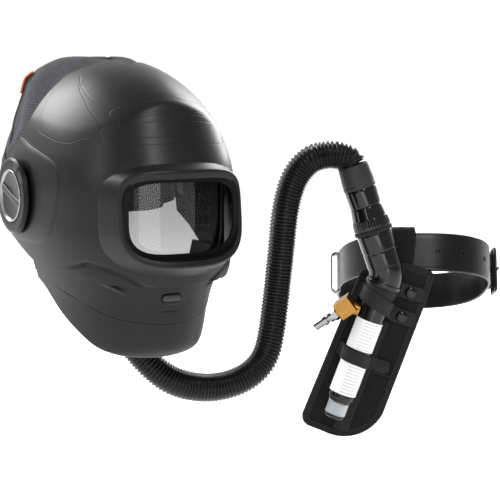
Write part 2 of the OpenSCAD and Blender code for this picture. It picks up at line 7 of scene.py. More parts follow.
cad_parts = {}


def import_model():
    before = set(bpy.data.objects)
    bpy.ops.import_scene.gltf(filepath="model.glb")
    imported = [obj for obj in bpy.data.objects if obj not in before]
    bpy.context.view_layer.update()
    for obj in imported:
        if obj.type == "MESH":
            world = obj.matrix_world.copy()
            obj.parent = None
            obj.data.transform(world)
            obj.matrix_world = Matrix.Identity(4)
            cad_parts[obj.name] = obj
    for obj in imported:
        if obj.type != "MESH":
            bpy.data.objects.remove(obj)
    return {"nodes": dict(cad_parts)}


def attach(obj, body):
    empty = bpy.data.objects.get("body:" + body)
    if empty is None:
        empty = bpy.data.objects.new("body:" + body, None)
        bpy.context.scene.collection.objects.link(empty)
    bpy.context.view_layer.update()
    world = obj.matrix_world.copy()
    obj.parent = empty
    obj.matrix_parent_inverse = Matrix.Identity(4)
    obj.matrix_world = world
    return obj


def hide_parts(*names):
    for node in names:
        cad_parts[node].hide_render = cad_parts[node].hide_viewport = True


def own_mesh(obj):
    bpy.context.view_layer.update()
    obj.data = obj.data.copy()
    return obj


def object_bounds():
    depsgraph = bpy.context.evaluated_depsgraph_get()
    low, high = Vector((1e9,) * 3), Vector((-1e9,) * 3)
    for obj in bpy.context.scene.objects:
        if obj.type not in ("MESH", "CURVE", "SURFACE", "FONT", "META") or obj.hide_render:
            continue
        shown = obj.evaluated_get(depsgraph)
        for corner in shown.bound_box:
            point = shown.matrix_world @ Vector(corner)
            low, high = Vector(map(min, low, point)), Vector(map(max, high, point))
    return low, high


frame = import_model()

CAD_BOX = [list(c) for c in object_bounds()]
MM = 0.001
FLOOR_GAP = 0.004             # floor below the lowest point of the part, in metres


# ---------- camera ----------

camera = bpy.data.objects.new("camera", bpy.data.cameras.new("camera"))
bpy.context.collection.objects.link(camera)
camera.location = (-0.80502, -1.72257, 0.16266)
camera.rotation_euler = (math.radians(83), 0, math.radians(-30))
camera.data.lens = 116.28
camera.data.sensor_width = 36
bpy.context.scene.camera = camera


# ---------- mesh helpers ----------

def put(name, verts, faces, material=None, body=None, stands_for=(), uv=None):
    """A mesh from points in mm. uv gives one pair for each vertex, in metres."""
    mesh = bpy.data.meshes.new(name)
    mesh.from_pydata([(x * MM, y * MM, z * MM) for x, y, z in verts], [], faces)
    mesh.validate()
    if uv is not None:
        layer = mesh.uv_layers.new(name="UVMap")
        index = np.zeros(len(mesh.loops), dtype=np.int64)
        mesh.loops.foreach_get("vertex_index", index)
        layer.data.foreach_set("uv", np.asarray(uv, dtype=np.float32)[index].ravel())
    mesh.polygons.foreach_set("use_smooth", [True] * len(mesh.polygons))
    mesh.update()
    piece = bpy.data.objects.new(name, mesh)
    bpy.context.collection.objects.link(piece)
    if material:
        mesh.materials.append(material)
    if body:
        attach(piece, body)
    if stands_for:
        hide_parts(*stands_for)
    return piece


def grid_faces(n, m, wrap_i=False, wrap_j=False, base=0, flip=False):
    """Quads over an n by m grid of points."""
    faces = []
    for i in range(n if wrap_i else n - 1):
        for j in range(m if wrap_j else m - 1):
            quad = (base + i * m + j, base + ((i + 1) % n) * m + j,
                    base + ((i + 1) % n) * m + (j + 1) % m, base + i * m + (j + 1) % m)
            faces.append(quad[::-1] if flip else quad)
    return faces


def tube_faces(n, m, base=0):
    """Quads round n rings of m points, and a face over each end."""
    return grid_faces(n, m, False, True, base) + [
        tuple(range(base, base + m)), tuple(range(base + (n - 1) * m, base + n * m))[::-1]]


def outward(piece):
    """Turns every face of a closed mesh outward."""
    import bmesh
    work = bmesh.new()
    work.from_mesh(piece.data)
    bmesh.ops.recalc_face_normals(work, faces=work.faces)
    work.to_mesh(piece.data)
    work.free()


def sharpen(piece, angle):
    """Keeps edges sharper than an angle crisp under smooth shading."""
    piece.data.set_sharp_from_angle(angle=math.radians(angle))


def solid(piece, angle):
    """Faces outward and sharp edges crisp, for a closed mesh."""
    outward(piece)
    sharpen(piece, angle)


def rounded(points, radii, steps=4, closed=False):
    """A polyline with its corners rounded. points are 2-D or 3-D arrays."""
    pts = [np.asarray(p, float) for p in points]
    n = len(pts)
    out = []
    for k in range(n):
        if not closed and k in (0, n - 1):
            out.append(pts[k])
            continue
        a, b, c = pts[k - 1], pts[k], pts[(k + 1) % n]
        r = radii[k] if hasattr(radii, "__len__") else radii
        la, lc = np.linalg.norm(a - b), np.linalg.norm(c - b)
        if r <= 0 or la < 1e-9 or lc < 1e-9:
            out.append(b)
            continue
        cut = min(r, la * 0.48, lc * 0.48)
        p, q = b + (a - b) / la * cut, b + (c - b) / lc * cut
        for s in np.linspace(0, 1, steps + 1):
            out.append((1 - s) ** 2 * p + 2 * s * (1 - s) * b + s * s * q)
    return out


def lathe(name, profile, frame_matrix, material, body, stands_for=(), round_by=0.6,
          turns=96, shape=None):
    """Turned piece. profile is (z, r) in mm, run round the axis of a frame. shape(angle, z, r)
    may change the radius."""
    line = rounded(profile, round_by, 3, True)
    verts, uv = [], []
    for i in range(turns):
        a = 2 * math.pi * i / turns
        for k, (z, r) in enumerate(line):
            if shape:
                r = shape(a, z, r)
            verts.append(tuple(frame_matrix @ Vector((r * math.cos(a), r * math.sin(a), z))))
            uv.append((a * r * MM, z * MM))
    piece = put(name, verts, grid_faces(turns, len(line), True, True), material, body,
                stands_for, uv=uv)
    solid(piece, 35)
    return piece


def carve(piece, cutter):
    """Cuts a closed cutter out of a piece and removes the cutter."""
    bpy.context.view_layer.objects.active = piece
    mod = piece.modifiers.new("cut", "BOOLEAN")
    mod.operation = "DIFFERENCE"
    mod.object = cutter
    mod.solver = "EXACT"
    bpy.ops.object.modifier_apply(modifier=mod.name)
    bpy.data.objects.remove(cutter, do_unlink=True)


def clamp(x):
    return min(max(x, 0), 1)


def ease(x):
    """Smooth step of a share."""
    return x * x * (3 - 2 * x)


def hill(x, mid, width):
    return math.exp(-((x - mid) / width) ** 2)


def unit(v):
    return v / max(np.linalg.norm(v), 1e-12)


def unit_rows(v):
    return v / np.linalg.norm(v, axis=1)[:, None]


def loop_tangents(loop):
    return unit_rows(np.roll(loop, -1, 0) - np.roll(loop, 1, 0))


def smooth_path(points, count):
    """Catmull-Rom curve through points, resampled evenly to count points."""
    p = np.asarray(points, float)
    p = np.vstack([2 * p[0] - p[1], p, 2 * p[-1] - p[-2]])
    dense = []
    for k in range(1, len(p) - 2):
        a, b, c, d = p[k - 1], p[k], p[k + 1], p[k + 2]
        for s in np.linspace(0, 1, 24, endpoint=False):
            dense.append(0.5 * (2 * b + (c - a) * s + (2 * a - 5 * b + 4 * c - d) * s * s
                                + (3 * b - a - 3 * c + d) * s ** 3))
    dense.append(p[-2])
    dense = np.array(dense)
    length = np.concatenate([[0], np.cumsum(np.linalg.norm(np.diff(dense, axis=0), axis=1))])
    even = np.linspace(0, length[-1], count)
    return np.stack([np.interp(even, length, dense[:, k]) for k in range(3)], 1), length[-1]


def carried_frames(path, up=None):
    """Tangent and two sideways directions at each point of a path, without twist."""
    tangents = unit_rows(np.gradient(path, axis=0))
    u = np.array(up, float) if up is not None else np.array([1.0, 0.0, 0.0])
    frames = []
    for t in tangents:
        u = unit(u - np.dot(u, t) * t)
        frames.append((t, u, np.cross(t, u)))
    return frames


def sweep(name, path, section, material, body, ups=None, closed=False, stands_for=(),
          scales=None, up=None, widths=None):
    """Runs a closed 2-D section along a path. ups gives each point's section y direction."""
    path = np.asarray(path, float)
    n, m = len(path), len(section)
    tangents = loop_tangents(path) if closed else unit_rows(np.gradient(path, axis=0))
    frames = carried_frames(path, up) if ups is None else None
    verts, uv, run = [], [], 0.0
    around = np.concatenate([[0], np.cumsum([np.hypot(*(np.subtract(section[(k + 1) % m], section[k])))
                                            for k in range(m - 1)])])
    for i in range(n):
        if ups is None:
            side, top = frames[i][1], frames[i][2]
        else:
            top = unit(np.asarray(ups[i]) - np.dot(ups[i], tangents[i]) * tangents[i])
            side = np.cross(tangents[i], top)
        k = scales[i] if scales is not None else 1
        w = widths[i] if widths is not None else 1
        if i:
            run += np.linalg.norm(path[i] - path[i - 1])
        for j, (a, b) in enumerate(section):
            verts.append(tuple(path[i] + (side * a * w + top * b) * k))
            uv.append((run * MM, around[j] * MM))
    faces = grid_faces(n, m, True, True) if closed else tube_faces(n, m)
    piece = put(name, verts, faces, material, body, stands_for, uv=uv)
    solid(piece, 45)
    return piece


def strap_section(width, thick, steps=3):
    """Flat band section with round edges."""
    w, t = width / 2, thick / 2
    return [tuple(p) for p in rounded([(-w, -t), (w, -t), (w, t), (-w, t)], t * 0.95, steps, True)]


def stitches(name, path, normals, body, material, spacing=3.2, length=2.1, r=0.28):
    """A row of thread stitches along a path, lying on a surface with these normals."""
    path = np.asarray(path, float)
    normals = np.asarray(normals, float)
    steps = np.linalg.norm(np.diff(path, axis=0), axis=1)
    run = np.concatenate([[0], np.cumsum(steps)])
    verts, faces = [], []
    at = spacing * 0.5
    while at + length < run[-1]:
        ends = [np.array([np.interp(at + e * length, run, path[:, k]) for k in range(3)])
                for e in (0, 1)]
        normal = unit(np.array([np.interp(at + length / 2, run, normals[:, k]) for k in range(3)]))
        along = unit(ends[1] - ends[0])
        side = np.cross(along, normal)
        base = len(verts)
        for e, lift in ((0, -0.15), (0.2, 0.18), (0.5, 0.3), (0.8, 0.18), (1, -0.15)):
            mid = ends[0] + (ends[1] - ends[0]) * e + normal * lift * r / 0.28
            for k in range(6):
                a = math.pi * k / 3
                verts.append(tuple(mid + (side * math.cos(a) + normal * math.sin(a)) * r))
        faces += tube_faces(5, 6, base)
        at += spacing
    return put(name, verts, faces, material, body)


# ---------- materials ----------

def finish(name, color, rough=0.5, metal=0.0, spec=0.5, coat=0.0, coat_rough=0.05, sheen=0.0,
           grain=0.0, grain_size=0.4, mottle=0.0, mottle_size=30.0, smudge=0.0, edge=0.0,
           weave=None, alpha=1.0, extra=None):
    """Surface finish. Sizes are in mm; grain and weave are bump depths in mm."""
    mat = bpy.data.materials.new(name)
    mat.use_nodes = True
    tree = mat.node_tree
    nodes, links = tree.nodes, tree.links
    bsdf = nodes["Principled BSDF"]
    for key, value in (("Base Color", (*color, 1.0)), ("Roughness", rough), ("Metallic", metal),
                       ("Specular IOR Level", spec), ("Coat Weight", coat),
                       ("Coat Roughness", coat_rough), ("Sheen Weight", sheen), ("IOR", 1.5),
                       ("Alpha", alpha)):
        bsdf.inputs[key].default_value = value
    if sheen:
        bsdf.inputs["Sheen Roughness"].default_value = 0.5
        bsdf.inputs["Sheen Tint"].default_value = (1, 1, 1, 1)
    coord = nodes.new("ShaderNodeTexCoord")

    def noise(size, detail=2.0):
        tex = nodes.new("ShaderNodeTexNoise")
        tex.inputs["Scale"].default_value = 1000.0 / size
        tex.inputs["Detail"].default_value = detail
        links.new(coord.outputs["Object"], tex.inputs["Vector"])
        return tex.outputs["Fac"]

    def remap(value, low, high, start=0.3, end=0.7):
        node = nodes.new("ShaderNodeMapRange")
        node.inputs["From Min"].default_value = start
        node.inputs["From Max"].default_value = end
        node.inputs["To Min"].default_value = low
        node.inputs["To Max"].default_value = high
        links.new(value, node.inputs["Value"])
        return node.outputs["Result"]

    def math_node(op, a, b=None):
        node = nodes.new("ShaderNodeMath")
        node.operation = op
        for k, v in enumerate((a, b)):
            if v is None:
                continue
            if isinstance(v, (int, float)):
                node.inputs[k].default_value = v
            else:
                links.new(v, node.inputs[k])
        return node.outputs[0]

    tools = {"nodes": nodes, "links": links, "coord": coord, "noise": noise, "remap": remap,
             "math": math_node}
    shade = []                       # multipliers of the base colour
    height = []                      # (field, depth in mm)
    if mottle:
        shade.append(remap(noise(mottle_size, 4), 1 - mottle, 1 + mottle))
    if smudge:
        links.new(remap(noise(38, 5), rough - smudge, rough + smudge), bsdf.inputs["Roughness"])
    if grain:
        height.append((noise(grain_size, 3), grain))
    if weave:
        # The weave's colour multiplier: over-under thread tone for woven cloth, painted shade in the troughs
        # and painted highlight on the tops for ribs.
        field, tint = weave(tools)
        height.append(field)
        shade.append(tint)
    if extra:
        more = extra(tools)
        height += more.get("height", [])
        shade += more.get("shade", [])
    if shade:
        total = shade[0]
        for s in shade[1:]:
            total = math_node("MULTIPLY", total, s)
        mix = nodes.new("ShaderNodeVectorMath")
        mix.operation = "SCALE"
        mix.inputs[0].default_value = color
        links.new(total, mix.inputs["Scale"])
        links.new(mix.outputs["Vector"], bsdf.inputs["Base Color"])
    normal = None
    if edge:
        bevel = nodes.new("ShaderNodeBevel")
        bevel.samples = 4
        bevel.inputs["Radius"].default_value = edge * MM
        normal = bevel.outputs["Normal"]
    for field, depth in height:
        bump = nodes.new("ShaderNodeBump")
        bump.inputs["Strength"].default_value = 1.0
        bump.inputs["Distance"].default_value = depth * MM
        links.new(field, bump.inputs["Height"])
        if normal:
            links.new(normal, bump.inputs["Normal"])
        normal = bump.outputs["Normal"]
    if normal:
        links.new(normal, bsdf.inputs["Normal"])
        if coat:
            links.new(normal, bsdf.inputs["Coat Normal"])
    return mat


def woven(size, depth, source="UV", slant=0.0, contrast=0.25):
    """Plain weave over UV in metres: threads of one size in mm, over and under."""
    def build(t):
        nodes, links = t["nodes"], t["links"]
        turn = nodes.new("ShaderNodeMapping")
        turn.inputs["Scale"].default_value = (1000 * math.pi / size,) * 3
        turn.inputs["Rotation"].default_value = (0, 0, math.radians(slant))
        links.new(t["coord"].outputs[source], turn.inputs["Vector"])
        split = nodes.new("ShaderNodeSeparateXYZ")
        links.new(turn.outputs["Vector"], split.inputs[0])
        u, v = split.outputs[0], split.outputs[1]
        su, sv = t["math"]("SINE", u), t["math"]("SINE", v)
        # Over-under: product of the two waves, with round threads either way
        cross = t["math"]("MULTIPLY", su, sv)
        field = t["math"]("ABSOLUTE", cross)
        tint = t["remap"](cross, 1 - contrast, 1 + contrast, -1.0, 1.0)
        return (field, depth), tint
    return build


def ribbed(size, depth):
    """Grosgrain ribs across the first UV direction, with painted shade in their troughs and a painted highlight
    on their tops.
    """
    def build(t):
        nodes, links = t["nodes"], t["links"]
        split = nodes.new("ShaderNodeSeparateXYZ")
        links.new(t["coord"].outputs["UV"], split.inputs[0])
        wave = t["math"]("SINE", t["math"]("MULTIPLY", split.outputs[0], 2000 * math.pi / size))
        # The colour follows the rib's height: darker in each trough as painted shade, lighter on each top as a
        # painted highlight.
        return (wave, depth), t["remap"](wave, 0.75, 1.15, -1.0, 1.0)
    return build


def shell_lines(t):
    """Panel lines moulded in the shell: a fine groove where a stored distance is nought."""
    nodes = t["nodes"]
    out = []
    for name in ("line_a", "line_b"):
        attr = nodes.new("ShaderNodeAttribute")
        attr.attribute_name = name
        dist = t["math"]("ABSOLUTE", attr.outputs["Fac"])
        out.append((t["remap"](dist, 0.0, 1.0, 0.1, 0.8), 0.09))
        out.append((t["remap"](attr.outputs["Fac"], 1.0, 0.0, -1.2, 0.0), 0.06))
    return {"height": out}


M = {
    "shell": finish("shell", (0.0045, 0.0046, 0.005), 0.38, spec=0.26, grain=0.035, grain_size=0.55,
                    mottle=0.12, mottle_size=60, extra=shell_lines),
    "chin": finish("chin", (0.0045, 0.0046, 0.005), 0.42, spec=0.24, grain=0.035, grain_size=0.55,
                   mottle=0.12, mottle_size=50),
    "inner": finish("inner", (0.004, 0.004, 0.0045), 0.6, spec=0.1, grain=0.03, grain_size=0.6, edge=0.5,
                    mottle=0.15, mottle_size=40),
    "hub": finish("hub", (0.004, 0.004, 0.0042), 0.32, spec=0.16, grain=0.012, grain_size=0.5, edge=0.6,
                  mottle=0.1),
    "ring": finish("ring", (0.30, 0.305, 0.315), 0.34, metal=1.0, grain=0.01, grain_size=0.4, mottle=0.08),
    "dish": finish("dish", (0.012, 0.0122, 0.013), 0.34, spec=0.35, grain=0.01, grain_size=0.4,
                   mottle=0.1),
    "lug": finish("lug", (0.035, 0.036, 0.038), 0.45, spec=0.3, grain=0.03, grain_size=0.5, mottle=0.1),
    "steel": finish("steel", (0.55, 0.55, 0.56), 0.28, metal=1.0, grain=0.008, grain_size=0.3, mottle=0.08,
                    edge=0.4),
    "fabric": finish("fabric", (0.085, 0.087, 0.092), 0.95, spec=0.08, sheen=0.03, mottle=0.22,
                     mottle_size=2.2, weave=woven(0.9, 0.12, contrast=0.4)),
    "hem": finish("hem", (0.05, 0.051, 0.054), 0.9, spec=0.08, sheen=0.02, mottle=0.15, mottle_size=2,
                  weave=ribbed(1.3, 0.1)),
    "tab": finish("tab", (0.72, 0.17, 0.055), 0.6, spec=0.2, sheen=0.05, mottle=0.06, mottle_size=3,
                  weave=ribbed(1.1, 0.12)),
    "duct": finish("duct", (0.003, 0.003, 0.0033), 0.42, spec=0.4, coat=0.15, grain=0.004, grain_size=0.8,
                   edge=0.8, mottle=0.1),
    "glass": finish("glass", (0.012, 0.013, 0.014), 0.015, alpha=0.45,
                    extra=lambda t: {"height": [(t["noise"](60, 1), 0.05)]}),
    "seal": finish("seal", (0.015, 0.015, 0.015), 0.7, spec=0.2, grain=0.02, mottle=0.2),
    "hose": finish("hose", (0.0035, 0.0035, 0.004), 0.26, spec=0.26, grain=0.01, grain_size=0.7, mottle=0.15),
    "cuff": finish("cuff", (0.022, 0.0225, 0.0235), 0.45, spec=0.25, grain=0.02, grain_size=0.5, mottle=0.07),
    "gloss": finish("gloss", (0.004, 0.004, 0.0044), 0.1, spec=0.34, coat=0.1, coat_rough=0.04,
                    grain=0.003, grain_size=2.5, mottle=0.1),
    "brass": finish("brass", (0.36, 0.19, 0.05), 0.34, metal=1.0, grain=0.012, grain_size=0.35,
                    mottle=0.1, mottle_size=8, edge=0.5),
    "nickel": finish("nickel", (0.34, 0.34, 0.35), 0.25, metal=1.0, grain=0.005, grain_size=0.4,
                     mottle=0.06, edge=0.4),
    "satin_metal": finish("satin_metal", (0.42, 0.43, 0.44), 0.36, metal=1.0, grain=0.012,
                          grain_size=0.3, mottle=0.08, edge=0.3),
    "cap": finish("cap", (0.004, 0.004, 0.004), 0.24, spec=0.4, grain=0.006, mottle=0.1, edge=0.5),
    "nylon": finish("nylon", (0.010, 0.010, 0.0104), 0.75, spec=0.08, mottle=0.15, mottle_size=5,
                    weave=woven(1.25, 0.16, contrast=0.35)),
    "binding": finish("binding", (0.011, 0.011, 0.0114), 0.6, spec=0.15, mottle=0.12,
                      mottle_size=4, weave=ribbed(1.2, 0.12)),
    "webbing": finish("webbing", (0.016, 0.016, 0.0165), 0.62, spec=0.15, mottle=0.12,
                      mottle_size=4, weave=woven(1.0, 0.14, slant=45, contrast=0.3)),
    "thread": finish("thread", (0.035, 0.035, 0.036), 0.6, spec=0.15, mottle=0.1, mottle_size=1,
                     grain=0.02, grain_size=0.2),
    "snap": finish("snap", (0.006, 0.006, 0.006), 0.16, spec=0.3, coat=0.1, grain=0.003, mottle=0.1),
    "leather": finish("leather", (0.003, 0.003, 0.0032), 0.32, spec=0.3, grain=0.05, grain_size=0.9,
                      smudge=0.07, mottle=0.2, mottle_size=14),
    "leather_edge": finish("leather_edge", (0.01, 0.01, 0.01), 0.55, spec=0.25, grain=0.05, grain_size=0.7,
                           mottle=0.2, mottle_size=6),
    "buckle": finish("buckle", (0.02, 0.02, 0.021), 0.32, metal=0.5, grain=0.01, mottle=0.15, edge=0.5),
    "band": finish("band", (0.012, 0.0125, 0.014), 0.5, spec=0.25, grain=0.02, mottle=0.1, edge=0.5),
    "pad": finish("pad", (0.02, 0.021, 0.024), 0.9, spec=0.1, sheen=0.08, mottle=0.15, mottle_size=2,
                  weave=woven(1.4, 0.2, source="Object", contrast=0.3)),
    "floor": finish("floor", (0.95, 0.95, 0.95), 0.6, spec=0.2, mottle=0.01, mottle_size=300),
}


floor_shader = M["floor"].node_tree.nodes["Principled BSDF"]
floor_shader.inputs["Emission Color"].default_value = (1, 1, 1, 1)
floor_shader.inputs["Emission Strength"].default_value = 0.5


# ---------- places shared with the CAD ----------

HEAD_MID = np.array([0.0, 0.0, -18.0])
SHELL_W, SHELL_FRONT, SHELL_BACK, CROWN = 118.0, 193.0, 148.0, 174.0
PIVOT = {s: Matrix(((0, 0, s, 0), (0, 1, 0, 0), (-1, 0, 0, 0), (0, 0, 0, 1))) for s in (-1, 1)}
SET = Matrix.Translation((350, -67, -115)) @ Matrix.Rotation(math.radians(-30), 4, "Z")
UPPER = SET @ Matrix.Rotation(math.radians(-18), 4, "Y")
LOWER = SET @ Matrix.Rotation(math.radians(20), 4, "Y")
BELT = (SET @ Matrix.Translation((48, 36, 24)) @ Matrix.Rotation(math.radians(-19), 4, "X")
        @ Matrix.Translation((0, 140, 0)))
BUCKLE = BELT @ Matrix.Translation((108.75, -10, 0))


def world(matrix, p):
    return np.array(matrix @ Vector(p))


def turned(matrix, v):
    return np.array(matrix.to_3x3() @ Vector(v))


# ---------- breathing hose ----------

HOSE_ROUTE = [
    (0, 166, -20), (0, 166, -38), (3, 161, -58), (8, 149, -79), (15, 131, -101), (23, 110, -125),
    (32, 87, -150), (41, 64, -175), (52, 44, -199), (67, 28, -221), (87, 18, -238), (113, 12, -248),
    (140, 6, -251), (165, 0, -247), (186, -4, -238), (202, -6, -224), (212, -6, -206),
    (219, -4, -182), (225, -1, -155), (230, 1, -128), (233, 0, -100), (236, -1, -70),
    (238, -3, -42), (242, -5, -18), (248, -8, 3), (257, -13, 19), (268, -20, 30), (280, -26, 34),
    (292, -33, 35), (302, -39, 32), (308.5, -42.6, 28), (311.5, -44.8, 22)]
HOSE_R = 18.0
RING = 4.3


def breathing_hose():
    _, length = smooth_path(HOSE_ROUTE, 10)
    rings = round(length / RING)
    per = 8
    path, length = smooth_path(HOSE_ROUTE, rings * per + 1)
    frames = carried_frames(path)
    sides = 40
    verts, uv = [], []
    for i, p in enumerate(path):
        t, u, v = frames[i]
        phase = (i % per) / per
        wave = 0.5 + 0.5 * math.cos(2 * math.pi * phase)
        r = HOSE_R - 2.0 * (1 - wave) ** 1.3
        for k in range(sides):
            a = 2 * math.pi * k / sides
            verts.append(tuple(p + (u * math.cos(a) + v * math.sin(a)) * r))
            uv.append((i * RING / per * MM, a * HOSE_R * MM))
    piece = put("hose", verts, tube_faces(len(path), sides), M["hose"], "helmet",
                ["breathing_hose"], uv=uv)
    outward(piece)
    return piece, path, length


hose, hose_path, hose_length = breathing_hose()
cuff_low = lathe("hose_cuff_low", [(-20, 14.2), (-20, 20), (-17, 20.6), (-15.5, 20.6), (-14.8, 19.9),
                                   (-13.6, 19.9), (-12.9, 20.8), (1, 21), (4, 20.2), (4, 14.2)],
                 Matrix.Translation((0, 166, 0)), M["cuff"], "helmet", ["hose_cuff_helmet"])
cuff_high = lathe("hose_cuff_high", [(114, 14), (114, 20.2), (115.5, 20.6), (118, 20.6), (119, 20.1),
                                     (121, 20.1), (122, 20.4), (139, 19.3), (141.5, 19.2), (144, 18.7),
                                     (144, 14)],
                  UPPER, M["cuff"], "helmet", ["hose_cuff_valve"])


# ---------- helmet shell ----------

def dome_r(d):
    """Reach of the crown and chin dome from the head's middle, along unit directions."""
    b = np.where(d[..., 1] < 0, 222.0, SHELL_BACK - 3)
    c = np.where(d[..., 2] > 0, CROWN, 190.0)
    return 1 / np.sqrt((d[..., 0] / (SHELL_W + 7)) ** 2 + (d[..., 1] / b) ** 2 + (d[..., 2] / c) ** 2)


def wall_r(d):
    """Reach of the steeper front and side walls, drawn in at the brow and cheeks."""
    front = np.where(d[..., 1] < 0, SHELL_FRONT, SHELL_BACK)
    k = ((np.abs(d[..., 0]) / SHELL_W) ** 2.4 + (np.abs(d[..., 1]) / front) ** 2.4) ** (1 / 2.4) + 1e-4
    brow = (1 + 0.234 * 0.48) / (k + 0.00234 * np.maximum(d[..., 2], 0))
    cheek = (1 + 0.22 * 0.37) / (k - 0.0022 * np.minimum(d[..., 2], 0))
    return soft_min(soft_min(1 / k, brow, 8), cheek, 8)


def soft_min(a, b, k):
    """Smaller of two values, blended where they are within k."""
    h = np.maximum(k - np.abs(a - b), 0) / k
    return np.minimum(a, b) - h * h * k / 4


def shell_r(d):
    return soft_min(dome_r(d), wall_r(d), 2.5)


def loop_xz(t, a, up, down):
    """Point of the window's rounded outline, with its own upper and lower height."""
    b, n = (up, 5) if math.sin(t) > 0 else (down, 3.2)
    r = ((abs(math.cos(t)) / a) ** n + (abs(math.sin(t)) / b) ** n) ** (-1 / n)
    return r * math.cos(t), r * math.sin(t)


WINDOW_Z = -15.0


def rim_point(t, a, up, down, back):
    x, z = loop_xz(t, a, up, down)
    return np.array([x, -(200 - 0.0033 * x * x - 0.1 * z) + back, z + WINDOW_Z])


def loop_dir(t, a, up, down, y):
    x, z = loop_xz(t, a, up, down)
    return unit(np.array([x, -y, z + WINDOW_Z + 18]))


SHIELD_EDGE = [(0, 70), (11, 79), (19, 86), (31, 88), (44, 90), (53, 96), (60, 103), (66, 109), (75, 112.5),
               (88, 112), (96, 109), (101, 104), (105, 97.5), (109, 90), (113, 82), (116, 75), (118, 62),
               (120, 53), (124, 46.5), (128, 40.5), (134, 34.5), (140, 30), (150, 26.5), (162, 24), (180, 22.9)]


def edge_dirs(d, edge, shares):
    """Directions from a window outline to the edge of the shell."""
    psi = math.atan2(d[2], d[0])
    turn = 90 - math.degrees(math.atan2(d[2], abs(d[0])))
    a0 = math.acos(-d[1])
    a1 = math.radians(np.interp(turn, [e[0] for e in edge], [e[1] for e in edge]))
    a = a0 + (a1 - a0) * shares
    return np.stack([np.sin(a) * math.cos(psi), -np.cos(a), np.sin(a) * math.sin(psi)], 1)


def polygon_distance(points, corner, p):
    """Signed distance, negative inside, from points to a polygon with rounded corners."""
    poly = np.array(rounded(points, corner, 6, True))
    a, b = poly, np.roll(poly, -1, 0)
    best = np.full(len(p), 1e9)
    inside = np.zeros(len(p), bool)
    for s, e in zip(a, b):
        edge = e - s
        length = max(edge @ edge, 1e-9)
        k = np.clip(((p - s) @ edge) / length, 0, 1)
        best = np.minimum(best, np.linalg.norm(p - s - k[:, None] * edge, axis=1))
        crosses = (s[1] > p[:, 1]) != (e[1] > p[:, 1])
        side = p[:, 0] < (e[0] - s[0]) * (p[:, 1] - s[1]) / (e[1] - s[1] + 1e-12) + s[0]
        inside ^= crosses & side
    return np.where(inside, -best, best)


# Panels moulded in the shell, by turn to either side and rise above the window, in degrees
SIDE_PANEL = [(88, 68), (79, 55), (76.5, 44), (73, 40.5), (50, 32.6), (44, 31), (36, 31.4), (29, 30),
              (28.5, 34), (36, 44), (47, 57), (56, 68)]
CROWN_PANEL = [(0, 43.4), (14, 44.2), (31, 45), (37, 50), (47, 59), (44, 62), (0, 66)]
BROW_PANEL = [(0, 27.4), (14, 27.6), (18, 28.7), (23.5, 34.6), (0, 35.6)]
BROW_ARCH = [(0, 36.2), (25, 36.2), (25.5, 39.4), (22, 40.8), (0, 41.2)]
BROW_STEP = [(0, 25.1), (23, 25.3), (29.5, 27.5), (30, 33), (0, 33)]
POD_PANEL = [(130, 38), (93, 38.2), (70, 32), (56, 26.5), (50, 22.4), (46.7, 17.5), (47.9, 8.6),
             (51, -1.7), (55, -10), (60, -13), (70.8, -15.8), (130, -16)]


def panel_lines(points):
    """Two distance fields, in mm, from shell points to their nearest panel lines."""
    rel = points - HEAD_MID
    reach = np.linalg.norm(rel, axis=1)
    turn = np.degrees(np.arctan2(np.abs(rel[:, 0]), -rel[:, 1]))
    rise = np.degrees(np.arcsin(np.clip(rel[:, 2] / reach, -1, 1)))
    where = np.stack([turn * np.cos(np.radians(rise)), rise], 1)

    def field(panels, corner):
        parts = []
        for panel in panels:
            flat = [(t * math.cos(math.radians(r)), r) for t, r in panel]
            if panel[0][0] == 0:
                flat = flat + [(-t * math.cos(math.radians(r)), r) for t, r in panel[::-1] if t]
            parts.append(polygon_distance(flat, corner, where))
        return np.min(parts, 0) * np.radians(reach)

    return field([SIDE_PANEL, CROWN_PANEL, BROW_PANEL], 3.0), field([BROW_ARCH, POD_PANEL, BROW_STEP], 4.0)


def add_field(piece, name, values):
    layer = piece.data.attributes.new(name, "FLOAT", "POINT")
    layer.data.foreach_set("value", np.asarray(values, dtype=np.float32))


def lip_flare(points):
    """The shield's lower edge flares out below a line that runs up to the cheeks."""
    rel = points - HEAD_MID
    turn = np.degrees(np.arctan2(np.abs(rel[:, 0]), -rel[:, 1]))
    rise = np.degrees(np.arcsin(rel[:, 2] / np.linalg.norm(rel, axis=1)))
    top = np.interp(turn, [0, 12, 20, 27, 35, 43, 52], [-24, -23, -18.9, -16.8, -16.2, -19.5, -23])
    depth = np.clip(top - rise, 0, 5)
    fade = np.clip((52 - turn) / 14, 0, 1) * np.clip(turn / 14, 0.25, 1)
    return (depth * 0.55 - 1.6 * np.exp(-((top - rise - 0.4) / 0.9) ** 2)) * fade


def pod_relief(points):
    """The side of the shield stands proud round its hub, and rises to the hub's rim."""
    _, line = panel_lines(points)
    y, z = points[:, 1], points[:, 2]
    side = np.clip((np.abs(points[:, 0]) - 60) / 30, 0, 1)
    inside = ease(np.clip(-line / 5.0, 0, 1) * side)
    near = ease(np.clip((64 - np.hypot(y, z)) / 18, 0, 1))
    return 0.7 * inside + 0.9 * near * side * (z < 80)


SHELL_WALL = 3.0
SHELL_TOP = 155.9             # the skin's highest point
RIM_POINTS = 20               # points of a row that lie on the window's rim
NO_LINE = 30                  # a distance at which no panel line shows
HUB_BORE = 16.4


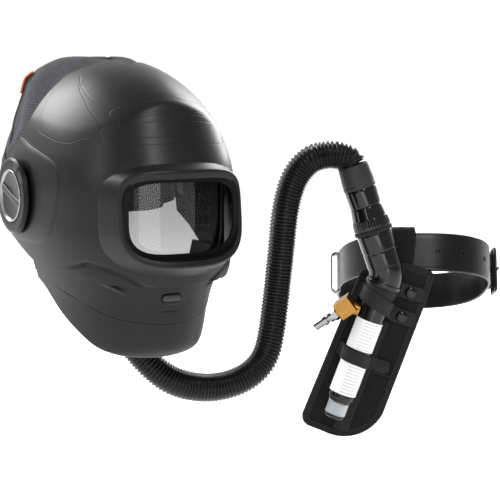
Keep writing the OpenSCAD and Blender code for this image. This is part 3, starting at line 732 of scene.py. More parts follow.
def weld_shield():
    """The shield with its window rim, lower lip and side zones, in one closed skin."""
    turns, cols = 480, 110
    shares = np.linspace(0, 1, cols) ** 1.05
    rows = []
    for i in range(turns):
        t = 2 * math.pi * i / turns
        d0 = loop_dir(t, 103, 58, 67, 185)
        dirs = edge_dirs(d0, SHIELD_EDGE, shares)
        reach = shell_r(dirs)
        skin = HEAD_MID + dirs * reach[:, None]
        flare = lip_flare(skin) + pod_relief(skin)
        outer = HEAD_MID + dirs * (reach + flare)[:, None]
        outer[:, 2] = np.minimum(outer[:, 2], SHELL_TOP)
        inner = HEAD_MID + dirs * (reach + flare - SHELL_WALL)[:, None]
        back, lip = rim_point(t, 69, 42, 45, 14), rim_point(t, 69.3, 42.3, 45.3, 2.0)
        front = rim_point(t, 74.5, 51, 52, 0)
        foot = HEAD_MID + d0 * (reach[0] + 1.3)
        rim = rounded([back, lip, front, foot, outer[1]], [0, 1.6, 3.0, 1.0, 0], 5)
        rim_in = rounded([inner[2], rim_point(t, 72.4, 49, 50, 4.0), rim_point(t, 72, 45, 48, 6.5),
                          rim_point(t, 72, 45, 48, 14)], 1.5, 2)
        tip = (outer[-1] + inner[-1]) / 2 + unit(outer[-1] - outer[-2]) * 1.2
        lip_end = rounded([outer[-1], tip, inner[-1]], 1.2, 3)[1:-1]
        row = rim[:-1] + list(outer[1:]) + lip_end + list(inner[:2:-4]) + rim_in
        rows.append(row)
    n = len(rows[0])
    verts = np.array([p for row in rows for p in row])
    uv = [(i * 2.0 * MM, j * 2.0 * MM) for i in range(turns) for j in range(n)]
    piece = put("shield_shell", verts, grid_faces(turns, n, True, True), M["shell"], "shield",
                ["weld_shield", "shield_pod_right", "shield_pod_left"], uv=uv)
    outward(piece)
    a, b = panel_lines(verts)
    for name, f in (("line_a", a), ("line_b", b)):
        f = f.reshape(turns, n).copy()
        f[:, :RIM_POINTS] = NO_LINE
        f[:, RIM_POINTS + cols + 2:] = NO_LINE
        add_field(piece, name, f.ravel())
    # Bores for the hub sleeves
    for s in (-1, 1):
        cut = lathe("cutter", [(104, 0.01), (104, HUB_BORE), (126, HUB_BORE), (126, 0.01)],
                    PIVOT[s], None, None, turns=64)
        carve(piece, cut)
    sharpen(piece, 42)
    return piece


weld_shield()


# ---------- hubs and knobs ----------

for side, word in ((-1, "right"), (1, "left")):
    pivot = PIVOT[side]
    lathe("hub_disc_" + word, [(119.5, 12), (119.5, 43.2), (121, 44), (123.2, 43.6), (125.5, 40.5),
                               (125.5, 31.4), (124.9, 30.6), (121, 30.6), (121, 12)],
          pivot, M["hub"], "helmet", ["hub_" + word], 0.8, 128)
    lathe("hub_sleeve_" + word, [(106, 4.1), (106, 15.9), (119.4, 15.9), (119.4, 4.1)], pivot, M["hub"],
          "helmet")

    # Two lugs on the hub, above the knob towards the front
    for k, (a0, a1, low, high) in enumerate(((198, 216, 33.4, 42), (222, 246, 34.5, 41.2))):
        verts = []
        span = np.radians(np.linspace(a0, a1, 16))
        for a in span:
            for r, h in rounded([(low, 124.0), (low, 126.4), (high, 125.4), (high, 122.5)],
                                [0, 0.7, 0.9, 0], 3):
                verts.append(tuple(pivot @ Vector((r * math.cos(a), r * math.sin(a), h))))
        m = len(verts) // 16
        lug = put(f"hub_lug_{word}_{k}", verts, tube_faces(16, m), M["lug"], "helmet")
        solid(lug, 40)

    knob_body = word + "_knob"
    lathe("knob_ring_" + word, [(121.4, 26.6), (121.4, 30), (125.9, 30), (126.7, 29.5), (126.7, 28.6),
                                (125.9, 28.1), (123.8, 26.6)], pivot, M["ring"], knob_body,
          ["knob_" + word], 0.7, 128)
    lathe("knob_dish_" + word, [(121.3, 4.1), (121.3, 27), (124.4, 27), (123.6, 22), (122.7, 12),
                                (122.5, 4.1)], pivot, M["dish"], knob_body, round_by=3)
    # Grip bar, waisted in the middle, with rounded edges
    verts = []
    stations = np.linspace(-26.4, 26.4, 25)
    turn = math.radians(-70)
    for s in stations:
        half = 3.1 + 1.2 * abs(s / 26.4) ** 2
        high = 126.2 - 0.6 * (s / 26.4) ** 2
        for b, h in rounded([(-half - 1.0, 122.6), (-half, high), (half, high), (half + 1.0, 122.6)],
                            [0, 1.2, 1.2, 0], 4):
            x, y = s * math.cos(turn) - b * math.sin(turn), s * math.sin(turn) + b * math.cos(turn)
            verts.append(tuple(pivot @ Vector((x, y, h))))
    m = len(verts) // 25
    grip = put("knob_grip_" + word, verts, tube_faces(25, m), M["dish"], knob_body)
    solid(grip, 40)


# ---------- chin bar, throat bib and latch ----------

CHIN_SCALE = [(-180, 0.64), (-174, 0.69), (-165, 0.725), (-150, 0.75), (-113, 0.79), (-90, 0.84),
              (-62, 0.90)]
SEAM = [(0, -137), (20, -133), (34, -128.5), (46, -121.5), (61, -109.5), (77, -98), (84, -89), (88, -82.5)]
BIB = [(0, -178), (30, -174), (46, -167), (54, -159), (62, -148), (70, -137), (78, -122), (86, -99), (88, -88)]


def table(rows, x):
    """Value of a table at x, with its corners eased."""
    keys, values = [r[0] for r in rows], [r[1] for r in rows]
    return float(np.mean([np.interp(x + e, keys, values) for e in (-5, -2.5, 0, 2.5, 5)]))


def chin_point(phi, z, off):
    s = table(CHIN_SCALE, z)
    a = math.radians(phi)
    e = 2 / 2.4
    return np.array([math.copysign((s * SHELL_W + off) * abs(math.sin(a)) ** e, math.sin(a)),
                     -math.copysign((s * SHELL_FRONT + off) * abs(math.cos(a)) ** e, math.cos(a)), z])


def pill_distance(x, z, half, r):
    return np.hypot(max(abs(x) - half, 0), z) - r


def chin_relief(p, phi):
    """How far the chin bar's skin stands off its plain surface."""
    out = 0.0
    d = pill_distance(p[0], p[2] + 106.5, 7.2, 4.3)
    out -= 2.6 * clamp((0.6 - d) / 0.9)
    out += 0.5 * hill(d, 2.6, 1.3)
    mark = math.hypot(max(abs(p[0]) - 9, 0), p[2] + 121.5)
    out -= 0.8 * hill(mark, 0, 1.2)
    # A long rib climbs from the front of the cheek to the back of the bar
    along = (abs(phi) - 28) / 46
    if -0.1 < along < 1.1:
        line = -99 + 33 * clamp(along) ** 0.9
        fade = clamp((along + 0.1) / 0.2) * clamp((1.1 - along) / 0.2)
        out += fade * 2.0 * hill(p[2], line, 2.2)
        out -= fade * 1.0 * hill(p[2] - line, 5, 3)
    return out


def chin_band(name, top, bottom, rows, off, thick, material, stands_for, relief, top_gap=0.0):
    phis = np.linspace(-88, 88, 250)
    verts, uv = [], []
    for phi in phis:
        high, low = top(phi), bottom(phi)
        outer, inner = [], []
        for j in range(rows):
            z = high + (low - high) * j / (rows - 1)
            p = chin_point(phi, z, off)
            extra = relief(p, phi)
            edge = min(j, rows - 1 - j)
            ease = 0.7 * max(0, 1 - edge / 1.5) ** 2
            outer.append(chin_point(phi, z, off + extra - ease))
            inner.append(chin_point(phi, z, off - thick))
        for q in outer + inner[::-4]:
            verts.append(tuple(q))
            uv.append((phi * 2.4 * MM, q[2] * MM))
    m = len(verts) // len(phis)
    piece = put(name, verts, tube_faces(len(phis), m), material, "helmet", stands_for,
                uv=uv)
    solid(piece, 42)
    return piece


chin_band("chin_shell", lambda phi: -62, lambda phi: table(SEAM, abs(phi)), 90, 0.0, 3.0, M["chin"],
          ["chin_bar"], chin_relief)
chin_band("throat_shell", lambda phi: table(SEAM, abs(phi)) + 1.6, lambda phi: table(BIB, abs(phi)), 40,
          -0.9, 2.2, M["chin"], ["throat_bib"],
          lambda p, phi: -2.3 * clamp(p[2] - table(SEAM, abs(phi)) + 0.6))

def latch_button():
    """Pill with a crowned face."""
    verts = []
    for i in range(64):
        a = 2 * math.pi * i / 64
        for k, depth in ((1.0, 3.0), (1.0, -1.4), (0.93, -2.2), (0.75, -2.7), (0.4, -2.9), (0.0, -2.95)):
            x = math.copysign(7, math.cos(a)) * (1 if k > 0 else 0) + 3.75 * k * math.cos(a)
            x = x if k > 0.5 else x * k / 0.5
            verts.append((x, -155.17 + depth, -106.5 + 3.75 * k * math.sin(a)))
    latch = put("latch_button", verts, grid_faces(64, 6, True, False) + [tuple(range(0, 384, 6))], M["lug"],
                "chin_button", ["chin_latch"])
    solid(latch, 40)


latch_button()


# ---------- clear visor ----------

def visor():
    half, cols, rows = 78.0, 96, 40
    verts = []
    for back in (0.0, 1.5):
        for i in range(cols):
            x = half * (2 * i / (cols - 1) - 1)
            for j in range(rows):
                z = 44 - 116 * j / (rows - 1)
                verts.append((x, -(168 - 0.0065 * x * x) + back, z))
    faces = grid_faces(cols, rows) + grid_faces(cols, rows, base=cols * rows, flip=True)
    rim = ([(i, 0) for i in range(cols)] + [(cols - 1, j) for j in range(1, rows)]
           + [(i, rows - 1) for i in range(cols - 2, -1, -1)] + [(0, j) for j in range(rows - 2, 0, -1)])
    ids = [i * rows + j for i, j in rim]
    faces += [(a, b, b + cols * rows, a + cols * rows) for a, b in zip(ids, ids[1:] + ids[:1])]
    piece = put("visor", verts, faces, M["glass"], "helmet", ["clear_visor"])
    solid(piece, 40)


visor()


# ---------- head cover ----------

COVER_EDGE = [(0, 100), (50, 97), (70, 88), (90, 74), (115, 56), (140, 40), (180, 24)]


HOOD_TOP, HOOD_THICK = 159, 1.6


def cover_r(d):
    """Reach of the hood's plain surface from the head's middle."""
    rear = d[1] - 0.5 * abs(d[0])
    p = np.interp(rear, [-0.1, 0.15], [2, 2.7])
    c = np.interp(rear, [-0.1, 0.15], [CROWN - 5, CROWN - 2])
    b = 208 if d[1] < 0 else SHELL_BACK - 2
    return (abs(d[0] / (SHELL_W - 4)) ** p + abs(d[1] / b) ** p + abs(d[2] / c) ** p) ** (-1 / p)


def cover_folds(d, az, share, th, back):
    """How far the hood stands off its plain surface: it bags out over the crown, is pulled
    straight beside the air duct, and has long folds along the edge of the shield."""
    turn = 90 - math.degrees(math.atan2(d[2], abs(d[0])))
    margin = math.degrees(math.acos(-d[1])) - np.interp(turn, [e[0] for e in SHIELD_EDGE],
                                                        [e[1] for e in SHIELD_EDGE])
    rise = ease(clamp((margin + 1) / 20))
    bag = np.interp(th, [0, 8, 20, 29, 34, 38, 43, 53, 66],
                    [6, 7, 11, 11.5, 9.5, 3.5, -0.5, -4, 0])
    mid = hill(back, 50, 30)
    out = rise * (mid * bag + (1 - mid) * min(bag, 5) * 0.6)
    near = (clamp((margin + 3) / 4) * clamp((150 - turn) / 60)
            * math.sin(math.radians(min(th, 60) * 1.5)))
    deep = 1 + 0.5 * math.sin(math.radians(5 * turn))
    out += near * (3.4 * hill(margin, 5, 2.4) - 5.0 * deep * hill(margin, 11.5, 3.0)
                   + 2.2 * hill(margin, 17, 2.6) - 1.6 * hill(margin, 22, 2.0))
    lat = math.radians(az)
    out += 0.9 * share ** 4 * math.sin(26 * lat + 2 * math.sin(3 * lat))
    return out + 0.7 * math.sin(4 * lat + 5 * share) * math.sin(math.pi * share)


def hood_point(th, az, off=0.0):
    a, h = math.radians(az), math.radians(th)
    back = abs(az - 180)
    last = table(COVER_EDGE, back)
    share = min((th - 0.6) / (last - 0.6), 1)
    d = np.array([math.sin(h) * math.sin(a), -math.sin(h) * math.cos(a), math.cos(h)])
    p = HEAD_MID + d * (cover_r(d) + cover_folds(d, az, share, th, back) - 3.0 + off)
    p[2] = min(p[2], HOOD_TOP)
    return p, d


def head_cover():
    turns, rows = 360, 110
    verts, uv, edge, edge_n = [], [], [], []
    for i in range(turns):
        az = 360 * i / turns
        last = table(COVER_EDGE, abs(az - 180))
        for j in range(rows):
            share = j / (rows - 1)
            hem = max(0, (share - 0.955) / 0.045)
            th = 0.6 + (last - 0.6) * share
            p, d = hood_point(th, az, 1.2 * math.sin(math.pi * min(hem, 1)) - 1.0 * hem)
            verts.append(tuple(p))
            uv.append((math.radians(az) * 0.13, np.linalg.norm(p - HEAD_MID) * math.radians(th) * MM))
            if j == rows - 6:
                edge.append(p + d * 0.25)
                edge_n.append(d)
    top = tuple(range(0, turns * rows, rows))
    piece = put("hood", verts, grid_faces(turns, rows, True, False) + [top], M["fabric"], "helmet",
                ["head_cover"], uv=uv)
    return piece, edge, edge_n


hood, hood_edge, hood_normals = head_cover()
bpy.context.view_layer.objects.active = hood
thicken = hood.modifiers.new("thick", "SOLIDIFY")
thicken.thickness = HOOD_THICK * MM
thicken.offset = -1
hood_thread = stitches("hood_thread", hood_edge + hood_edge[:1], hood_normals + hood_normals[:1], "helmet",
                       M["thread"], 3.4, 2.2, 0.32)

# Taped seam of the hood, from one hub up past the tab and across the back of the crown
half = [(82, 64), (74, 60), (65, 57), (53, 54.8), (43, 52.6), (37, 51), (33, 47), (30, 38), (28.5, 20), (28, 0)]
line = [(th, 180 + back) for th, back in half] + [(th, 180 - back) for th, back in half[-2::-1]]
line, _ = smooth_path([np.array([th, az, 0.0]) for th, az in line], 220)
spots = [hood_point(th, az, 0.6) for th, az, _ in line]
seam_path, seam_ups = np.array([p for p, _ in spots]), [d for _, d in spots]
hood_tape = sweep("hood_tape", seam_path, strap_section(7, 1.4), M["hem"], "helmet", ups=seam_ups)
tape_threads = []
for k, side in enumerate((-1, 1)):
    row = [p + unit(np.cross(unit(t), u)) * side * 2.3 + u * 0.75
           for p, u, t in zip(seam_path, seam_ups, np.gradient(seam_path, axis=0))]
    tape_threads.append(stitches(f"tape_stitch_{k}", row, seam_ups, "helmet", M["thread"], 2.6, 1.7, 0.3))

# Pull tab, folded webbing sewn to the hood
tab_spots = [hood_point(th, 180 + 49.5 + 0.2 * (th - 34), 2.6) for th in np.linspace(30.5, 39, 24)]
tab_path = [p + d * 1.2 * math.sin(math.pi * i / 23) for i, (p, d) in enumerate(tab_spots)]
hood_tab = sweep("tab_webbing", tab_path, strap_section(13, 1.8), M["tab"], "helmet",
                 ups=[d for _, d in tab_spots], stands_for=["pull_tab"])

# Each soft piece of the hood gets a mesh of its own
for soft in (hood, hood_thread, hood_tape, hood_tab, *tape_threads):
    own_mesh(soft)


# ---------- regulator ----------

lathe("connector", [(61, 13), (61, 15.9), (90.6, 15.9), (90.6, 19.2), (92, 19.6), (111.5, 20.1),
                    (114, 19.5), (114, 13)], UPPER, M["gloss"], "helmet", ["connector_tube"], 0.7)


def collar_ribs(a, z, r):
    """Fine grip flutes round the collar's widest part."""
    if r < 19.5 or z > 74 or z < 62.6:
        return r
    return r - 0.45 * (0.5 + 0.5 * math.cos(36 * a)) ** 4


lathe("collar", [(61.3, 16), (61.3, 23.0), (62.6, 23.6), (66, 23.5), (70, 23.1), (74, 22.5), (74.6, 21.9),
                 (88.2, 19.9), (90.3, 19.4), (90.3, 16)], UPPER, M["gloss"], "collar", ["coupling_collar"],
      0.5, 216, shape=collar_ribs)
lathe("tube_band", [(56, 13), (56, 23.6), (57, 24.2), (60, 24.2), (61, 23.6), (61, 13)], UPPER, M["seal"],
      "helmet", ["tube_ring"], 0.5)
lathe("valve_barrel", [(10.33, 17), (10.33, 21.5), (14, 21.6), (30, 21.8), (31, 21.5), (32, 21.5),
                       (33, 21.85), (54.5, 22.2), (56, 21.6), (56, 17)], UPPER, M["gloss"], "helmet",
      ["valve_tube"], 0.6)


def elbow():
    """Bend between the two arms of the regulator."""
    mid = (SET @ Matrix.Rotation(math.radians(1), 4, "Y")
           @ Matrix.Translation((-30 / math.cos(math.radians(19)), 0, 0)))
    verts = []
    rings = 20
    for i in range(rings):
        a = math.radians(-19 + 38 * i / (rings - 1))
        for k in range(72):
            b = 2 * math.pi * k / 72
            reach = 30 + 21.5 * math.cos(b)
            verts.append(tuple(mid @ Vector((reach * math.cos(a), 21.5 * math.sin(b), reach * math.sin(a)))))
    piece = put("elbow_bend", verts, tube_faces(rings, 72), M["gloss"], "helmet", ["elbow"])
    solid(piece, 50)


elbow()
lathe("elbow_band", [(-16.33, 12), (-16.33, 22.2), (-15.3, 23), (-11.3, 23), (-10.33, 22.2), (-10.33, 12)],
      LOWER, M["cap"], "helmet", ["elbow_ring"], 0.5)
END = -168.33                 # outer end of the vortex tube, along the lower arm
lathe("vortex_barrel", [(END, 12), (END, 16.2), (END + 0.9, 17), (END + 5.5, 17), (END + 6, 16.2),
                        (END + 7.5, 16.2), (END + 8, 17), (-17.2, 17), (-16.33, 16.2), (-16.33, 12)],
      LOWER, M["gloss"], "helmet", ["vortex_tube"], 0.35)
lathe("flow_knob", [(END - 22, 4), (END - 22, 12.4), (END - 21, 13.2), (END - 6, 13.2), (END - 4.4, 12.4),
                    (END - 4.4, 4)], LOWER, M["satin_metal"], "flow_valve", ["control_knob"], 0.5,
      216, shape=lambda a, z, r: r - (0.5 * (0.5 + 0.5 * math.cos(54 * a)) if r > 12.6 else 0))
lathe("flow_cap", [(END - 26, 0.01), (END - 26, 5.2), (END - 25.3, 5.6), (END - 25.3, 7.4), (END - 26, 7.9),
                   (END - 26, 12), (END - 24.6, 13.4), (END - 22, 13.4), (END - 22, 0.01)], LOWER, M["cap"],
      "flow_valve", ["knob_cap"], 0.4)
lathe("flow_screw", [(END - 25.9, 0.01), (END - 26.0, 3.1), (END - 25.4, 4.2), (END - 24.6, 4.2),
                     (END - 24.6, 0.01)], LOWER, M["nickel"], "flow_valve", round_by=0.3,
      turns=48)


def labels():
    """Two blank labels with print bars, but no lettering."""
    def bars(t):
        nodes, links = t["nodes"], t["links"]
        split = nodes.new("ShaderNodeSeparateXYZ")
        links.new(t["coord"].outputs["UV"], split.inputs[0])
        row = t["math"]("FRACT", t["math"]("MULTIPLY", split.outputs[1], 1000 / 4.2))
        band = t["math"]("LESS_THAN", t["math"]("ABSOLUTE", t["math"]("SUBTRACT", row, 0.5)), 0.16)
        col = t["math"]("FRACT", t["math"]("MULTIPLY", split.outputs[0], 1000 / 35.0))
        span = t["math"]("LESS_THAN", t["math"]("ABSOLUTE", t["math"]("SUBTRACT", col, 0.42)), 0.26)
        ink = t["math"]("MULTIPLY", band, span)
        return {"shade": [t["remap"](ink, 1.0, 0.62, 0.0, 1.0)]}

    mat = finish("label_print", (0.80, 0.80, 0.81), 0.35, spec=0.5, grain=0.006, grain_size=1.5, mottle=0.03,
                 extra=bars)
    for k, (low, high) in enumerate(((-161, -120), (-101, -62))):
        lathe(f"label_{k}", [(low, 17.02), (low, 17.35), (high, 17.35), (high, 17.02)], LOWER, mat, "helmet",
              ["label_sleeves"] if k == 0 else (), 0.15, 128)


labels()


# ---------- holster ----------

HOLSTER_Y = 23.1              # front face of the panel in the lower arm's frame


def holster_outline():
    """Outline of the panel in the lower arm's X and Z, going round."""
    points = []
    for mid, r, a0, a1 in (((-22, -207), 14, 180, 262), ((6, -166), 56, 262, 352)):
        for a in np.radians(np.linspace(a0, a1, 16)):
            points.append((mid[0] + r * math.cos(a), mid[1] + r * math.sin(a)))
    points += [(62, -18), (60, 20), (20, 20), (-30, -8)]
    return rounded(points, [0] * 32 + [3, 4, 3, 4], 4, True)


def even_loop(points, step):
    pts = np.asarray(points + points[:1], float)
    run = np.concatenate([[0], np.cumsum(np.linalg.norm(np.diff(pts, axis=0), axis=1))])
    n = int(run[-1] / step)
    at = np.linspace(0, run[-1], n, endpoint=False)
    return np.stack([np.interp(at, run, pts[:, 0]), np.interp(at, run, pts[:, 1])], 1)


def inset(loop, amount):
    """A closed 2-D loop moved inward."""
    tangent = loop_tangents(loop)
    normal = np.stack([-tangent[:, 1], tangent[:, 0]], 1)
    middle = loop.mean(0)
    if np.mean(np.sum(normal * (middle - loop), 1)) < 0:
        normal = -normal
    return loop + normal * amount


def holster():
    loop = even_loop(holster_outline(), 3.0)
    middle = np.array([8.0, -110.0])
    # Front face: rings from the edge in towards the middle, gently quilted and hollowed
    rings = 22
    for face, y0, puff in (("front", HOLSTER_Y - 0.2, 1), ("back", HOLSTER_Y + 3.6, -0.3)):
        verts, uv = [], []
        edge = inset(loop, 5.0)
        for i, p in enumerate(edge):
            for k in range(rings):
                s = k / (rings - 1)
                q = p + (middle - p) * s
                sag = 1.3 * math.sin(math.pi * min(s * 1.3, 1)) + 0.5 * math.sin(q[1] / 19 + q[0] / 31)
                ripple = 0.5 * hill(s, 0.08, 0.05)
                y = y0 + (sag - ripple) * puff * 0.8
                verts.append(world(LOWER, (q[0], y, q[1])))
                uv.append((q[0] * MM, q[1] * MM))
        piece = put("holster_" + face, verts, grid_faces(len(edge), rings, True, False), M["nylon"], "helmet",
                    ["holster_panel"] if face == "front" else (), uv=uv)
        outward(piece)
    # Bound edge: a folded tape all round
    tape = inset(loop, 4.6)
    path = np.array([world(LOWER, (q[0], HOLSTER_Y + 1.75, q[1])) for q in tape])
    section = rounded([(-4.7, -2.5), (4.7, -2.2), (4.7, 2.2), (-4.7, 2.5)], 1.6, 4, True)
    up = turned(LOWER, (0, -1, 0))
    sweep("holster_tape", path, [tuple(q) for q in section], M["binding"], "helmet", ups=[up] * len(path),
          closed=True, stands_for=["holster_binding"])
    for k, off in enumerate((1.3, 7.6)):
        row = inset(loop, off)
        pts = [world(LOWER, (q[0], HOLSTER_Y - 0.62, q[1])) for q in row]
        stitches(f"holster_stitch_{k}", pts + pts[:1], [up] * (len(pts) + 1), "helmet", M["thread"])


holster()


def tube_strap(name, left, mid, right, width, r, tail, stands_for=()):
    """Webbing over the tube. left, mid and right give its height on the tube, and the free end
    runs out flat on the panel to tail."""
    points = [(-r - 5, HOLSTER_Y - 1.2, left), (-r - 1.0, HOLSTER_Y - 2.6, left), (-r, HOLSTER_Y - 8, left),
              (-r, 2, left)]
    for a in np.radians(np.linspace(190, 350, 22)):
        x = r * math.cos(a)
        z = mid + (left - mid) * max(-x / r, 0) + (right - mid) * 0.45 * max(x / r, 0)
        points.append((x, r * math.sin(a), z))
    near = mid + (right - mid) * 0.6
    points += [(r + 0.1, 2, near), (r + 0.6, HOLSTER_Y - 9, near),
               (r + 3.5, HOLSTER_Y - 3.6, (near + right) / 2),
               (r + 9, HOLSTER_Y - 2.1, right), ((r + 9 + tail) / 2, HOLSTER_Y - 2.0, right),
               (tail, HOLSTER_Y - 3.0, right + 1.5)]
    path, _ = smooth_path([world(LOWER, q) for q in points], 130)
    axis = turned(LOWER, (0, 0, 1))
    middle = LOWER @ Vector((0, HOLSTER_Y + 12, 0))
    ups = []
    for t, p in zip(np.gradient(path, axis=0), path):
        n = unit(np.cross(axis, t))
        back = p - np.array(middle) - axis * np.dot(p - np.array(middle), axis)
        ups.append(n if np.dot(n, back) > 0 else -n)
    widths = [1 - 0.35 * max(0, (i - 122) / 7) ** 2 for i in range(130)]
    sweep(name, path, strap_section(width, 1.5), M["webbing"], "helmet", ups=ups,
          stands_for=stands_for, widths=widths)
    for k, side in enumerate((-1, 1)):
        row = [p + np.cross(unit(t), u) * side * (width / 2 - 1.7) + u * 0.9
               for p, u, t in zip(path, ups, np.gradient(path, axis=0))]
        stitches(f"{name}_stitch_{k}", row[:-6], ups[:-6], "helmet", M["thread"], 3.0, 2.0, 0.24)


tube_strap("strap_upper", -24, -24, -14, 19, 18.6, 57, ["hold_straps"])
tube_strap("strap_lower", -31, -36, -47, 19, 20.4, 57)
tube_strap("strap_middle", -111, -111, -116, 17, 18.5, 48)

# Webbing strip down the panel under the tube, and the seam that crosses the panel below it
strip = [world(LOWER, (17, HOLSTER_Y - 1.0, z)) for z in np.linspace(-60, -212, 60)]
facing = turned(LOWER, (0, -1, 0))
sweep("panel_strip", strip, strap_section(20, 1.1), M["webbing"], "helmet", ups=[facing] * 60)
for k, x in enumerate((9, 25)):
    row = [world(LOWER, (x, HOLSTER_Y - 1.7, z)) for z in np.linspace(-60, -210, 60)]
    stitches(f"strip_stitch_{k}", row, [facing] * 60, "helmet", M["thread"])
seam = [world(LOWER, (x, HOLSTER_Y - 1.1, -128 + 0.05 * x)) for x in np.linspace(27, 55, 20)]
sweep("panel_seam", seam, strap_section(3.0, 1.2), M["binding"], "helmet", ups=[facing] * 20)


def snap(name, x, z, y):
    place = LOWER @ Matrix.Translation((x, y, z)) @ Matrix.Rotation(math.radians(90), 4, "X")
    lathe(name, [(0, 0.01), (0, 7.6), (0.8, 7.6), (1.2, 6.9), (2.0, 6.6), (3.0, 5.2), (3.6, 3.0), (3.8, 0.01)],
          place, M["snap"], "helmet", ["strap_snaps"] if name == "snap_0" else (), 0.7, 64)


snap("snap_0", 39, -47, HOLSTER_Y - 2.6)
snap("snap_1", 39, -14, HOLSTER_Y - 2.6)


def belt_pad():
    """Padded fabric loop that rises from the holster, over the belt and down behind it."""
    points = [(24, 26.4, -24), (24, 27.0, -6), (23.5, 26.8, 16), (23, 28.5, 38), (22, 33, 50), (21.5, 42, 54),
              (21.5, 52, 50), (22, 56.5, 38), (22, 57, 18), (22, 56.5, -4), (22, 52, -8), (22, 44, -7.4)]
    path, _ = smooth_path([world(SET, q) for q in points], 120)
    across = turned(SET, (1, 0, 0))
    middle = world(SET, (22, 42, 30))
    ups, widths = [], []
    for i, (t, p) in enumerate(zip(np.gradient(path, axis=0), path)):
        n = unit(np.cross(across, t))
        ups.append(n if np.dot(n, p - middle) > 0 else -n)
        widths.append(0.74 + 0.36 * clamp((i - 22) / 26))
    section = rounded([(-14.8, -1.1), (-13, -1.3), (13, -1.3), (14.8, -1.1), (14.8, 1.1), (12.6, 1.5),
                       (10.8, 1.0), (0, 1.35), (-10.8, 1.0), (-12.6, 1.5), (-14.8, 1.1)], 0.8, 3, True)
    sweep("belt_pad", path, [tuple(q) for q in section], M["nylon"], "helmet", ups=ups,
          stands_for=["belt_loop"], widths=widths)
    for k, side in enumerate((-1, 1)):
        row = [p + across * side * 12.2 * w + u * 1.35 for p, u, w in zip(path, ups, widths)]
        stitches(f"belt_pad_stitch_{k}", row, ups, "helmet", M["thread"])


belt_pad()


# ---------- belt ----------

def belt_oval(t, inset_by):
    a, b, e = 102 - inset_by, 140 - inset_by, 2 / 2.6
    return (math.copysign(a * abs(math.cos(t)) ** e, math.cos(t)),
            math.copysign(b * abs(math.sin(t)) ** e, math.sin(t)))


def belt_path(inset_by, count=360):
    """Even points round the belt's loop, starting by the buckle."""
    loop = even_loop([belt_oval(2 * math.pi * i / 1440, inset_by) for i in range(1440)], 0.5)
    run = len(loop)
    return np.array([loop[int(i * run / count)] for i in range(count)])


HOLES = (20, 53, 84)


def waist_belt():
    """Strap with crowned faces, creased edge lines and punched holes."""
    flat = belt_path(1.75)
    n = len(flat)
    tangent = loop_tangents(flat)
    normal = np.stack([tangent[:, 1], -tangent[:, 0]], 1)
    section = []
    for z in np.linspace(-25, 25, 41):
        rim = min(25 - abs(z), 1.6) / 1.6
        crease = 0.28 * hill(abs(z), 21.2, 0.7)
        section.append((z, 1.75 * (1 - 0.75 * (1 - rim) ** 2) - crease))
    verts, uv = [], []
    for i in range(n):
        for z, h in section:
            q = flat[i] + normal[i] * h
            verts.append(world(BELT, (q[0], q[1], z)))
            uv.append((i * 2.1 * MM, z * MM))
        for z, h in section[::-1]:
            q = flat[i] - normal[i] * h
            verts.append(world(BELT, (q[0], q[1], z)))
            uv.append((i * 2.1 * MM, z * MM))
    piece = put("belt_strap", verts, grid_faces(n, len(section) * 2, True, True), M["leather"], "helmet",
                ["waist_belt"], uv=uv)
    solid(piece, 50)
    # Punched holes in the outer layer of the leather, each with a pressed rim
    for k, x in enumerate(HOLES):
        i = int(np.argmin(np.abs(flat[:, 0] - x) + (flat[:, 1] > 0) * 1000))
        out_v = turned(BELT, (normal[i][0], normal[i][1], 0))
        z_axis = turned(BELT, (0, 0, 1))
        x_axis = np.cross(z_axis, out_v)
        mid = world(BELT, (flat[i][0], flat[i][1], 0))
        place = Matrix(((x_axis[0], z_axis[0], out_v[0], mid[0]), (x_axis[1], z_axis[1], out_v[1], mid[1]),
                        (x_axis[2], z_axis[2], out_v[2], mid[2]), (0, 0, 0, 1)))
        carve(piece, lathe("cutter", [(-1.0, 0.01), (-1.0, 2.7), (6, 2.7), (6, 0.01)], place, None, None,
                           turns=32))
        lathe(f"eyelet_{k}", [(1.55, 2.75), (1.9, 2.8), (2.05, 3.3), (1.9, 3.9), (1.55, 4.1)], place,
              M["leather_edge"], "helmet", round_by=0.15, turns=48)


waist_belt()


def pill_loop(w, h, count=72):
    """Closed flat oval in X and Z."""
    r = w / 2
    half = h / 2 - r
    line = []
    for a in np.linspace(0, math.pi, count // 2):
        line.append((r * math.cos(a), half + r * math.sin(a)))
    for a in np.linspace(math.pi, 2 * math.pi, count // 2):
        line.append((r * math.cos(a), -half + r * math.sin(a)))
    return even_loop(line, 1.6)


def belt_keeper():
    loop = pill_loop(12.3, 53.3)
    path = [world(BELT, (q[0] - 103.6, 0, q[1])) for q in loop]
    middle = world(BELT, (-103.6, 0, 0))
    axis = turned(BELT, (0, 1, 0))
    ups = []
    for i in range(len(loop)):
        t = loop[(i + 1) % len(loop)] - loop[i - 1]
        n = unit(np.array([t[1], -t[0]]))
        if np.dot(n, loop[i]) < 0:
            n = -n
        ups.append(turned(BELT, (n[0], 0, n[1])))
    sweep("keeper_band", path, strap_section(20, 1.7), M["leather"], "helmet", ups=ups, closed=True,
          stands_for=["belt_keeper"])


belt_keeper()


